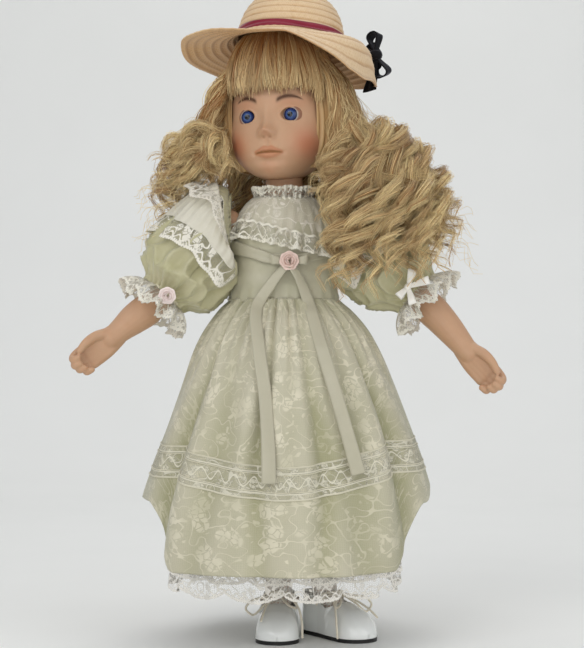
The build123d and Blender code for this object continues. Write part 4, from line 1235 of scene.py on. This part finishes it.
def rolled_rose(place, size, facing, seed):
    """A rose rolled from ribbon: petals wound round a bud, opening outwards."""
    draw = np.random.default_rng(seed)
    facing = unit(np.asarray(facing, float))
    u = unit(np.cross(facing, [0, 0, 1.0]))
    w = np.cross(facing, u)
    parts = []
    for ring, (count, reach, height, lean) in enumerate(PETAL_RINGS):
        for k in range(count):
            a0 = TAU * k / count + ring * 0.9 + draw.uniform(-0.15, 0.15)
            span = 2.2 if ring == 0 else 1.25 - 0.12 * ring
            s, h = crossed(np.linspace(-span, span, 17), np.linspace(0, 1, 11))
            edge = 1 - 0.28 * (s / span) ** 2
            opened = reach * (0.55 + 0.45 * h) + lean * 0.22 * h**2.5
            r = size * opened * (1 + 0.04 * np.sin(5 * s + k))
            up = size * height * h * edge - size * 0.10 * lean * h**4
            a = a0 + s * (0.72 + 0.1 * h)
            around = (r * np.cos(a))[..., None] * u + (r * np.sin(a))[..., None] * w
            parts.append(patch(place + around + up[..., None] * facing))
    return join(parts)


def make_rose():
    pink = cloth("pink_satin", lin(240, 218, 206), lin(230, 200, 188), 0.3, 0.38, 0.4)
    rose = build("ribbon_rose_petals", *rolled_rose(ROSE, 5.8, (0, -1, 0.12), 3), pink)
    thicken(rose, 0.5)
    fit(rose, "torso", "pink_satin", "ribbon_rose")


make_skirt()
make_petticoat()
make_bodice()
make_yoke()
make_waist_ribbon()


# ------------------------------------------------------------------ arms
def arm_basis(side, reach):
    """Centre, along, front and up directions of a ring on the upper arm, reach mm from the shoulder."""
    start, end = np.array(SHOULDERS[side]), np.array(ELBOWS[side])
    along = unit(end - start)
    reach = np.asarray(reach, float)
    share = step(reach, -4, 24)[..., None]
    axis = unit(np.array([SIDE[side], 0, 0]) * (1 - share) + along * share)
    front = unit(np.cross(axis, [0, 0, 1.0]) * -SIDE[side])
    front = front * np.where(front[..., 1:2] > 0, -1, 1)
    up = np.cross(axis, front)
    up = up * np.where(up[..., 2:3] < 0, -1, 1)
    return start + reach[..., None] * along, axis, front, up


def arm_point(side, angle, reach, radius):
    """A point round the upper arm; angle 0 faces the front and a quarter turn is the top."""
    centre, _, front, up = arm_basis(side, reach)
    forward, upward = (radius * np.cos(angle))[..., None], (radius * np.sin(angle))[..., None]
    return centre + forward * front + upward * up


def arm_length(side):
    return float(np.linalg.norm(np.array(ELBOWS[side]) - np.array(SHOULDERS[side])))


def sew_to_shoulder(piece):
    """Bakes the place of a piece of the dress that lies between the bodice and the upper arm into its
    points.
    """
    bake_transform(piece)


def clear_of_bodice(side, points, least, lean):
    """Keeps a shoulder piece's points outside the bodice's side."""
    gate = SIDE[side] * points[..., 0]
    points[..., 0] = SIDE[side] * np.maximum(gate, least + lean * np.maximum(gate, 0))
    return points


def make_sleeve(side, satin):
    length, k = arm_length(side), 0 if side == "right" else 7
    aa, ll = crossed(full_turn(240), np.linspace(-2.0, length - 3.0, 110))
    radius = smooth(ll, [-2, 3, 12, 26, 42, 56, length - 6, length - 3],
                    [13.5, 17.0, 25.0, 29.5, 29.5, 25.0, 14.8, 13.2])
    puff = np.sin(math.pi * np.clip((ll + 2) / (length - 1), 0, 1))
    crease = (1.9 * np.sin(aa * 6 + 0.09 * ll + 1.9 * np.sin(ll * 0.11 + k))
              + 1.5 * np.sin(aa * 10 - 0.12 * ll + k)
              + 2.2 * wobble(aa * 3, ll * 0.14, 31 + k)) * (0.35 + 0.65 * puff)
    crease = 3.4 - 2.9 * np.abs(crease) ** 0.75
    gathers = 0.9 * np.sin(aa * 30 + k) * (step(ll, 16, 0) + step(ll, length - 22, length - 4))
    lift = 1.5 * np.sin(aa) * bell(ll, 26, 14)
    points = clear_of_bodice(side, arm_point(side, aa, ll, radius + crease + gathers + lift), 27.0, 0.12)
    sleeve = sheet(f"{side}_puff_sleeve", points, satin, wrap=True, uv_size=(170, 80), thick=0.7)
    sew_to_shoulder(sleeve)
    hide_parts(f"{side}_sleeve")


def flounce_tier(side, name, reach, radius, span, wave, seed, satin, trim, trim_share):
    """A gathered shoulder flounce: a satin part and a lace edge that share one ruffled surface."""
    rows = 36
    a0, a1 = (math.radians(v) for v in span)
    aa, vv = crossed(np.linspace(a0, a1, 300), np.linspace(0, 1, rows))
    ends = np.minimum(step(aa, a0, a0 + 0.5), step(aa, a1, a1 - 0.5))
    ll = reach[0] + (reach[1] - reach[0]) * vv * (0.55 + 0.45 * ends)
    rr = radius[0] + (radius[1] - radius[0]) * (vv ** 0.75) * (0.5 + 0.5 * ends)
    ruffle = wave * vv * (np.sin(aa * 6.5 + seed + 0.8 * np.sin(aa * 2 + seed))
                          + 0.45 * np.sin(aa * 13 + 2.3 * seed + vv))
    ll = ll + ruffle * 0.7 + 1.2 * wobble(aa * 2, vv * 2, 51 + int(seed))
    rr = rr + ruffle * 0.8 * ends + 0.5 * np.sin(aa * 37) * (1 - vv)
    rr = rr + 4.0 * vv * wobble(aa * 5, vv * 2.0, 61 + int(seed))
    points = clear_of_bodice(side, arm_point(side, aa, ll, rr), 26.0, 0.2)
    cut = int(rows * (1 - trim_share))
    inner = sheet(f"{side}_{name}_satin", points[:, : cut + 1], satin, uv_size=(110, 20), thick=0.4)
    edge = sheet(f"{side}_{name}_lace", points[:, cut - 2:][:, ::-1], trim, uv_size=(135, 12.0))
    sew_to_shoulder(inner)
    sew_to_shoulder(edge)
    return inner


def make_cuff(side, trim):
    length, k = arm_length(side), 0.0 if side == "right" else 2.0
    aa, vv = crossed(full_turn(420), np.linspace(0, 1, 26))
    ll = length - 4.0 + 14.0 * vv ** 1.4
    wave = np.sin(aa * 10 + k + 0.8 * np.sin(aa * 3 + k)) + 0.5 * np.sin(aa * 17 + 1.3 * k)
    radius = 12.9 + 11.5 * np.sin(1.45 * vv) + 3.6 * vv * wave
    ll = ll + 2.8 * vv * np.cos(aa * 10 + k + 1.2) + 0.5 * np.sin(aa * 60) * (vv > 0.97)
    points = arm_point(side, aa, ll, radius)
    cuff = sheet(f"{side}_cuff_frill", points[:, ::-1], trim, wrap=True, uv_size=(260, 14.0), thick=0.25)
    fit(cuff, f"{side}_upper_arm", "white_lace", f"{side}_cuff_lace")
    centre, axis, front, up = arm_basis(side, length - 7.0)
    t = np.linspace(0, TAU, 80)
    rings = np.array([arm_point(side, t, np.full(80, length - short), np.full(80, 14.2))
                      for short in (7.5, 4.1)])
    cords = build(f"{side}_cuff_cord", *tubes(rings, 0.7, sides=8), bpy.data.materials["cream_cord"])
    attach(cords, cuff)
    bow_at = centre + front * 23.5 + up * 1.5
    if side == "right":
        pink = bpy.data.materials["pink_satin"]
        flower = build("right_cuff_rosette",
                       *rolled_rose(bow_at + axis * 5, 5.2, front + 0.3 * axis, 8), pink)
    else:
        loops = []
        for direction, reach in ((up + 0.6 * axis, 15), (-0.5 * up + 0.9 * axis, 12),
                                 (0.9 * up - 0.4 * axis, 12), (-up, 9)):
            loops.append(patch(bow_loop(direction + 0.25 * front, reach, 6.0, 5.5, front) + bow_at))
        knot = np.stack([bow_at + front * 1.0 + axis * x for x in np.linspace(-2.2, 2.2, 7)])
        loops.append(tubes(knot[None], np.array([[0.4, 1.7, 2.3, 2.5, 2.3, 1.7, 0.4]]), sides=14))
        flower = build("left_cuff_satin_bow", *join(loops), bpy.data.materials["ivory_satin"])
    thicken(flower, 0.4)
    fit(flower, f"{side}_upper_arm", "pink_satin" if side == "right" else "ivory_satin",
        f"{side}_cuff_bow")


def bone(points, radii, steps=34):
    """A closed rounded tube through points with the given radii, capped like a capsule."""
    points, radii = np.asarray(points, float), np.asarray(radii, float)
    gap = np.linalg.norm(np.diff(points, axis=0), axis=-1)
    at = np.concatenate([[0], np.cumsum(gap)])
    cap = np.sin(np.linspace(0, math.pi / 2, 9))
    s = np.linspace(0, at[-1], steps)
    body, r = smooth(s, at, points), smooth(s, at, radii)
    first, last = unit(body[0] - body[1]), unit(body[-1] - body[-2])
    head = [body[0] + first * radii[0] * c for c in cap[:0:-1]]
    tail = [body[-1] + last * radii[-1] * c for c in cap[1:]]
    path = np.concatenate([head, body, tail])
    ends = np.sqrt(np.clip(1 - cap[1:] ** 2, 0.0004, 1))
    radius = np.concatenate([radii[0] * ends[::-1], r, radii[-1] * ends])
    return tubes(path[None], radius[None], sides=20)


def fused(name, parts, material, voxel, passes):
    """Several overlapping closed shapes melted into one skin."""
    rough = build(name + "_rough", *join(parts), material)
    remesh = rough.modifiers.new("melt", "REMESH")
    remesh.mode, remesh.voxel_size, remesh.use_smooth_shade = "VOXEL", voxel * MM, True
    soften = rough.modifiers.new("soften", "SMOOTH")
    soften.factor, soften.iterations = 0.5, passes
    mesh = bpy.data.meshes.new_from_object(rough.evaluated_get(bpy.context.evaluated_depsgraph_get()))
    bpy.data.objects.remove(rough)
    mesh.name = name
    piece = bpy.data.objects.new(name, mesh)
    mesh.materials.clear()
    mesh.materials.append(material)
    bpy.context.scene.collection.objects.link(piece)
    return piece


def make_forearm(side):
    """Forearm and a cupped hand with curled fingers and a thumb laid along its upper edge."""
    elbow, tip = np.array(ELBOWS[side]), np.array(TIPS[side])
    d = unit(tip - elbow)
    u = unit(np.array([0, 0, 1.0]) - d[2] * d)
    w = np.cross(d, u)
    w = w if w[1] < 0 else -w
    reach = float(np.linalg.norm(tip - elbow))
    wrist = reach - 34.0

    def at(along, high=0.0, near=0.0):
        return elbow + d * along + u * high + w * near

    bones = []
    for k in range(4):
        high, long = 6.2 - 3.9 * k, (32.5, 34.0, 33.0, 30.0)[k]
        base = wrist + 15
        bones.append(bone([at(base, high * 0.85, -0.6), at(wrist + long * 0.72, high, -1.4),
                           at(wrist + long * 0.93, high - 0.6, 0.4),
                           at(wrist + long - 1.2, high - 1.2, 3.6),
                           at(wrist + long - 4.0, high - 1.6, 5.8)],
                          [3.0, 2.75, 2.6, 2.4, 2.1]))
    bones.append(bone([at(wrist + 3, 4.5, 1.5), at(wrist + 11, 8.0, 3.2), at(wrist + 19, 8.6, 4.4),
                       at(wrist + 25, 7.4, 5.2)],
                      [3.8, 3.3, 2.8, 2.3]))
    for k in range(5):
        high = 4.6 - 2.5 * k
        bones.append(bone([at(wrist - 2, high * 0.75, 0), at(wrist + 9, high * 1.05, -0.3),
                           at(wrist + 21, high * 1.15, -1.0)],
                          [4.0, 4.2 - 0.15 * abs(k - 2), 3.3]))
    bones.append(bone([at(3), at(11), at(22, 0.5), at(wrist - 6, 0.3), at(wrist + 3)],
                      [9.2, 10.6, 10.0, 8.0, 6.8]))
    skin = fused(f"{side}_bisque_forearm", bones, bpy.data.materials["painted_bisque"], 0.55, 9)
    fit(skin, f"{side}_forearm", "bisque", f"{side}_forearm")


def make_arms():
    satin = cloth("sleeve_satin", lin(206, 199, 170), lin(172, 169, 122), rough=0.30, sheen=0.35)
    sheer = cloth("flounce_satin", lin(222, 217, 202), lin(206, 201, 182), rough=0.40, sheen=0.35)
    white = (lin(238, 234, 222), lin(226, 221, 206))
    trim, veil = edging("flounce_lace", *white, 12.0, 0.6), edging("cuff_lace", *white, 14.0, 0.7)
    for side, seed in (("right", 1.0), ("left", 4.0)):
        make_sleeve(side, satin)
        upper = flounce_tier(side, "upper_flounce", (0, 13), (19, 38), (-38, 205), 3.4, seed,
                             satin, trim, 0.62)
        flounce_tier(side, "lower_flounce", (5, 40), (30, 36.5), (-55, 200), 3.0, seed + 1.7,
                     sheer, trim, 0.40)
        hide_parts(f"{side}_flounce")
        make_cuff(side, veil)
        make_forearm(side)


# ------------------------------------------------------------------ legs
CORD_RADIUS = 0.72
FEET = {"right": (-3.0, 4.0, math.radians(-2.0)), "left": (27.0, 4.0, math.radians(38.0))}


def on_foot(side, p):
    """From the foot's own axes, toe towards -Y, to where the shoe stands."""
    x, y, turn = FEET[side]
    return swing(p, turn, 0, 1) + [x, y, 0]


def shoe_points():
    """The upper as rows from toe to heel, each running from one edge of the sole over to the other."""
    rows, columns = 120, 65
    t = np.linspace(0, 1, rows)
    y = -44.8 + 60.6 * (0.5 - 0.5 * np.cos(math.pi * t)) * 0.5 + 60.6 * t * 0.5
    toe = np.sqrt(np.clip(1 - (np.clip(-y - 31.5, 0, 13.49) / 13.5) ** 2, 0, 1))
    heel = np.sqrt(np.clip(1 - (np.clip(y - 5.5, 0, 10.49) / 10.5) ** 2, 0, 1))
    width = np.interp(y, [-31.5, -18, -6, 5.5], [13.5, 12.6, 10.6, 10.6]) * toe * heel + 0.05
    roof = np.interp(y, [-45, -38, -31, -24, -18, -10], [11.0, 15.2, 18.8, 21.4, 23.2, 24.0])
    rim = np.interp(y, [-20, -14, -8, 0, 8, 16], [20.5, 20.0, 22.5, 26.6, 27.2, 28.6])
    v = np.linspace(-1, 1, columns)
    yy, vv = crossed(y, v)
    w, h, top, round_toe = width[:, None], roof[:, None], rim[:, None], toe[:, None]
    s = 1 - np.abs(vv)
    angle = s * math.pi / 2
    arch_x = np.cos(angle) ** 0.62
    arch_z = 2.5 + (h - 2.5) * round_toe**0.45 * np.sin(angle) ** 0.82
    wall_x = 1 + 0.05 * np.sin(math.pi * s) - 0.06 * s
    wall_z = 2.5 + (top - 2.5) * s
    lip = 1.5 * np.cos(3.1 * math.pi * (1 - s)) * 0.6
    opened = step(yy + lip, -19.5, -16.0)
    x = np.sign(vv) * w * (arch_x * (1 - opened) + wall_x * opened)
    z = arch_z * (1 - opened) + wall_z * opened
    middle = columns // 2
    points = np.stack([x, yy, z], -1)
    toe_end = points[:1] * [0, 0, 0.6] + [0, -45.2, 1.2]
    heel_end = points[-1:] * [0, 0, 1] + [0, 16.1, 0]
    points = np.concatenate([toe_end, points, heel_end])
    is_open = opened[:, middle] > 0.03
    return points, np.concatenate([[False], is_open, [True]]), middle


def leather():
    s = Shader("white_shoe_leather", Roughness=0.22, Specular_IOR_Level=0.5, Coat_Weight=0.6,
               Coat_Roughness=0.12)
    where = s.place()
    s.set(Base_Color=s.mix(s.noise(where, 9.0, 3.0), lin(250, 252, 248), lin(244, 245, 242)),
          Normal=s.bump(s.noise(where, 0.9, 3.0), 0.08, 0.15,
                        s.bump(s.noise(where, 9.0, 2.0), 0.25, 0.8)))
    return s.material


def make_shoe(side, white, cord):
    points, open_rows, middle = shoe_points()
    rows, columns = points.shape[:2]
    flat = on_foot(side, points).reshape(-1, 3)
    faces = grid_faces(rows, columns)
    row, column = faces[:, 0] // columns, faces[:, 0] % columns
    opening = open_rows[row] | open_rows[np.minimum(row + 1, rows - 1)]
    keep = ~(opening & ((column == middle) | (column == middle - 1)))
    shoe = build(f"{side}_shoe_leather", flat, faces[keep], white)
    thicken(shoe, 1.0)
    first = int(np.argmax(open_rows))
    rim = np.concatenate([points[first:, middle - 1][::-1], points[first - 1: first, middle],
                          points[first:, middle + 1]])
    edge = build(f"{side}_shoe_binding", *tubes(on_foot(side, rim)[None], 0.65, sides=8), white)
    outline = np.concatenate([points[:, 0], points[::-1, -1]])
    outline = outline * [1.03, 1.0, 0] + [0, 0, 3.0]
    welt = build(f"{side}_shoe_welt", *tubes(on_foot(side, outline[::2])[None], 0.55, sides=6), white)
    fit(shoe, f"{side}_leg", "shoe_white", f"{side}_shoe_upper")
    for piece in (edge, welt):
        attach(piece, shoe)
    out = 1.0 if side == "right" else -1.0
    knot = np.array([0, -15.0, 29.0])
    tied = [[(11.2, 2, 23), (9.5, -5, 26.5), (5, -11.5, 29), knot],
            [(11.0, -5, 21), (7, -10, 26), (1, -14, 28.4), knot]]
    loops = [
        [knot, (-8, -19, 27), (-17, -22, 25), (-21, -23, 20), (-17, -23, 16), (-9, -21, 22), knot],
        [knot, (6, -19, 29), (11, -23, 26), (12, -26, 21), (8, -25, 22), (3, -20, 26), knot],
        [knot, (7, -21, 27), (13, -27, 22), (15.6, -31, 14), (16.2, -33, 3.2)],
        [knot, (-3, -20, 27), (-7, -28, 23), (-9, -37, 18.5), (-10, -41.5, 15)]]
    strings = [np.array(path, float) * [way, 1, 1] for path in tied for way in (1, -1)]
    strings += [np.array(path, float) * [out, 1, 1] for path in loops]
    tubes_list = [bone(path, [CORD_RADIUS] * len(path), 46) for path in strings]
    tubes_list.append(bone([knot + [-1.6, 0, 0.3], knot + [0, -0.8, 0.6], knot + [1.6, 0, 0.3]],
                           [1.2, 1.5, 1.2], 12))
    points, faces = join(tubes_list)
    lace_piece = build(f"{side}_lace_cords", on_foot(side, points), faces, cord)
    fit(lace_piece, f"{side}_leg", "lace_cord", f"{side}_shoe_lace")


def shank_point(side, z):
    """Middle of the leaning lower leg at height z, in the foot's own axes."""
    turn, up = FEET[side][2], (z - 28.0) / 158.0
    x, y = -12.0 * up, -4.0 * up
    return (x * math.cos(turn) + y * math.sin(turn), y * math.cos(turn) - x * math.sin(turn), z)


def make_shin(side):
    """Porcelain calf, ankle and slim foot, with the stub that goes up into the cloth thigh."""
    heights = (26, 36, 56, 76, 96, 110, 117, 122)
    calf = bone([shank_point(side, z) for z in heights], [7.2, 7.2, 8.6, 9.9, 11.0, 10.6, 8.2, 7.6], 70)
    foot = bone([(0, 2, 13), (0, -10, 12), (0, -21, 9.6), (0, -31, 8.0)], [6.8, 7.0, 6.0, 4.2], 30)
    points, faces = join([calf, foot])
    skin = bpy.data.materials["painted_bisque"]
    shin = fused(f"{side}_bisque_shin", [(on_foot(side, points), faces)], skin, 0.7, 5)
    fit(shin, f"{side}_leg", "bisque_plain", f"{side}_lower_leg")


def make_sock(side, knit, frill):
    shank = [shank_point(side, z) for z in (20, 28, 36, 46, 56, 64)]
    parts = [bone(shank, [8.4, 8.2, 8.6, 9.4, 9.8, 9.6], 40),
             bone([(0, 2, 14), (0, -10, 14.5), (0, -20, 11.0), (0, -29, 8.8)], [8.0, 8.6, 7.4, 5.0], 30),
             bone([(0, 0, 24), (0, -7, 19.5), (0, -14, 14.5)], [8.2, 8.4, 7.6], 20)]
    points, faces = join(parts)
    sock = fused(f"{side}_sock_knit", [(on_foot(side, points), faces)], knit, 0.6, 5)
    fit(sock, f"{side}_leg", "white_cotton", f"{side}_sock")
    aa, vv = crossed(full_turn(260), np.linspace(0, 1, 14))
    z = 47.0 - 10.0 * vv
    centre = np.array([shank_point(side, h) for h in z[0]])
    r = 10.0 + 1.0 * vv + (0.3 + 1.6 * vv) * np.sin(aa * 13 + vv)
    ring = np.stack([centre[None, :, 0] + r * np.cos(aa), centre[None, :, 1] + r * np.sin(aa), z], -1)
    cuff = sheet(f"{side}_sock_frill", on_foot(side, ring)[:, ::-1], frill, wrap=True,
                 uv_size=(90, 10), thick=0.2)
    attach(cuff, sock)


def make_legs():
    white = leather()
    cord = Shader("lace_cord_twist", Roughness=0.8, Specular_IOR_Level=0.2, Sheen_Weight=0.2)
    where = cord.place()
    cord.set(Base_Color=cord.mix(cord.noise(where, 1.2), lin(246, 238, 220), lin(232, 222, 200)),
             Normal=cord.bump(cord.waves(where, 0.5, "DIAGONAL"), 0.5, 0.2))
    knit = Shader("sock_knit", Roughness=0.85, Specular_IOR_Level=0.2, Sheen_Weight=0.3)
    where = knit.place()
    cells = knit.cells(where, 2.2, "DISTANCE_TO_EDGE", randomness=0.6)
    net = knit.ramp(cells, 0.22, 0.10)
    knit.set(Base_Color=knit.mix(net, lin(222, 200, 186), lin(244, 240, 232)),
             Normal=knit.bump(net, 0.6, 0.4))
    frill = edging("sock_lace", lin(234, 230, 222), lin(222, 218, 208), 10.0, 0.6)
    for side in ("right", "left"):
        make_shoe(side, white, cord.material)
        make_shin(side)
        make_sock(side, knit.material, frill)


# ------------------------------------------------------------------ plain parts
def speckled(name, size, colour, other, **settings):
    """A material that varies finely between two colours given as screen values."""
    s = Shader(name, **settings)
    s.set(Base_Color=s.mix(s.noise(s.place(), size), lin(*colour), lin(*other)))
    return s.material


def dress_cad():
    """Materials for the parts of the frame that stay in sight or lie inside the clothes."""
    skin = bpy.data.materials["painted_bisque"]
    calico = cloth("body_calico", lin(222, 208, 184), lin(206, 190, 164), 0.6, 0.85)
    steel = speckled("steel_wire", 1.5, (168, 170, 174), (140, 142, 148), Metallic=1.0, Roughness=0.35)
    fluff = speckled("polyester_fibre", 2.0, (238, 236, 230), (222, 220, 214), Roughness=0.95,
                     Sheen_Weight=0.4)
    plaster = speckled("set_plaster", 3.0, (232, 228, 218), (216, 210, 198), Roughness=0.9)
    brass = speckled("aged_brass", 0.8, (142, 120, 82), (96, 80, 56), Metallic=1.0, Roughness=0.38)
    black = Shader("black_sole", Roughness=0.45, Specular_IOR_Level=0.45)
    where = black.place()
    black.set(Base_Color=black.mix(black.noise(where, 2.0), lin(16, 15, 15), lin(30, 28, 27)),
              Normal=black.bump(black.noise(where, 0.6), 0.3, 0.2))
    by_part = {"shoulder_plate": skin, "upper_arm": skin, "thigh": calico, "torso_cover": calico,
               "torso_stuffing": fluff, "wire": steel, "neck_": steel, "snaps": steel,
               "plaster": plaster,
               "sole": black.material, "eyelets": brass}
    for name, node in NODES.items():
        for part, material in by_part.items():
            if part in name:
                node.data.materials.clear()
                node.data.materials.append(material)
                break


make_arms()
make_legs()
dress_cad()


# ------------------------------------------------------------------ studio
# Each lamp: its name, place in millimetres, size in metres and power in watts.
LAMPS = (("key", (-900, -1400, 1300), 1.3, 11.5), ("fill", (1300, -1200, 800), 1.6, 7.5),
         ("low", (-100, -1500, 120), 1.0, 4.5), ("top", (0, 200, 1900), 1.6, 6.5),
         ("back", (300, 1000, 1400), 1.0, 3.0))


def studio():
    s = Shader("studio_floor", Roughness=0.8, Specular_IOR_Level=0.2)
    s.set(Base_Color=s.mix(s.noise(s.place(), 120.0), lin(243, 243, 240), lin(239, 239, 236)))
    away = s.add("NewGeometry", out=6)
    clear = s.add("BsdfTransparent")
    seen = s.add("MixShader", {0: away, 1: s.bsdf.outputs[0], 2: clear})
    s.put(s.tree.nodes["Material Output"].inputs["Surface"], seen)
    bend = np.linspace(0.05, math.pi / 2, 24)
    depth = np.concatenate([np.linspace(-2200, 900, 24), 900 + 600 * np.sin(bend), [1500]])
    rise = np.concatenate([np.zeros(24), 600 * (1 - np.cos(bend)), [3000]])
    wide = np.linspace(-3000, 3000, 12)
    points = np.stack(np.broadcast_arrays(wide[:, None], depth[None, :], rise[None, :]), -1)
    floor = sheet("studio_floor", points, s.material)
    for name, where, size, power in LAMPS:
        light = bpy.data.lights.new(name, "AREA")
        light.energy, light.size = power, size
        lamp = bpy.data.objects.new(name, light)
        lamp.location = Vector(where) * MM
        aim = Vector((0, 0, 0.23)) - lamp.location
        lamp.rotation_euler = aim.to_track_quat("-Z", "Y").to_euler()
        bpy.context.scene.collection.objects.link(lamp)
    world = bpy.data.worlds.new("studio")
    world.use_nodes = True
    colour, strength = world.node_tree.nodes["Background"].inputs[:2]
    colour.default_value, strength.default_value = (0.92, 0.95, 1.0, 1), 0.42
    bpy.context.scene.world = world
    bpy.context.scene.view_settings.view_transform = "Standard"
    camera = bpy.data.cameras.new("camera")
    camera.sensor_fit, camera.sensor_height, camera.lens = "VERTICAL", 36.0, 101.0
    eye = bpy.data.objects.new("camera", camera)
    eye.location, eye.rotation_euler = (0.0053, -1.2, 0.205), (math.pi / 2, 0, 0)
    bpy.context.scene.collection.objects.link(eye)
    bpy.context.scene.camera = eye


studio()
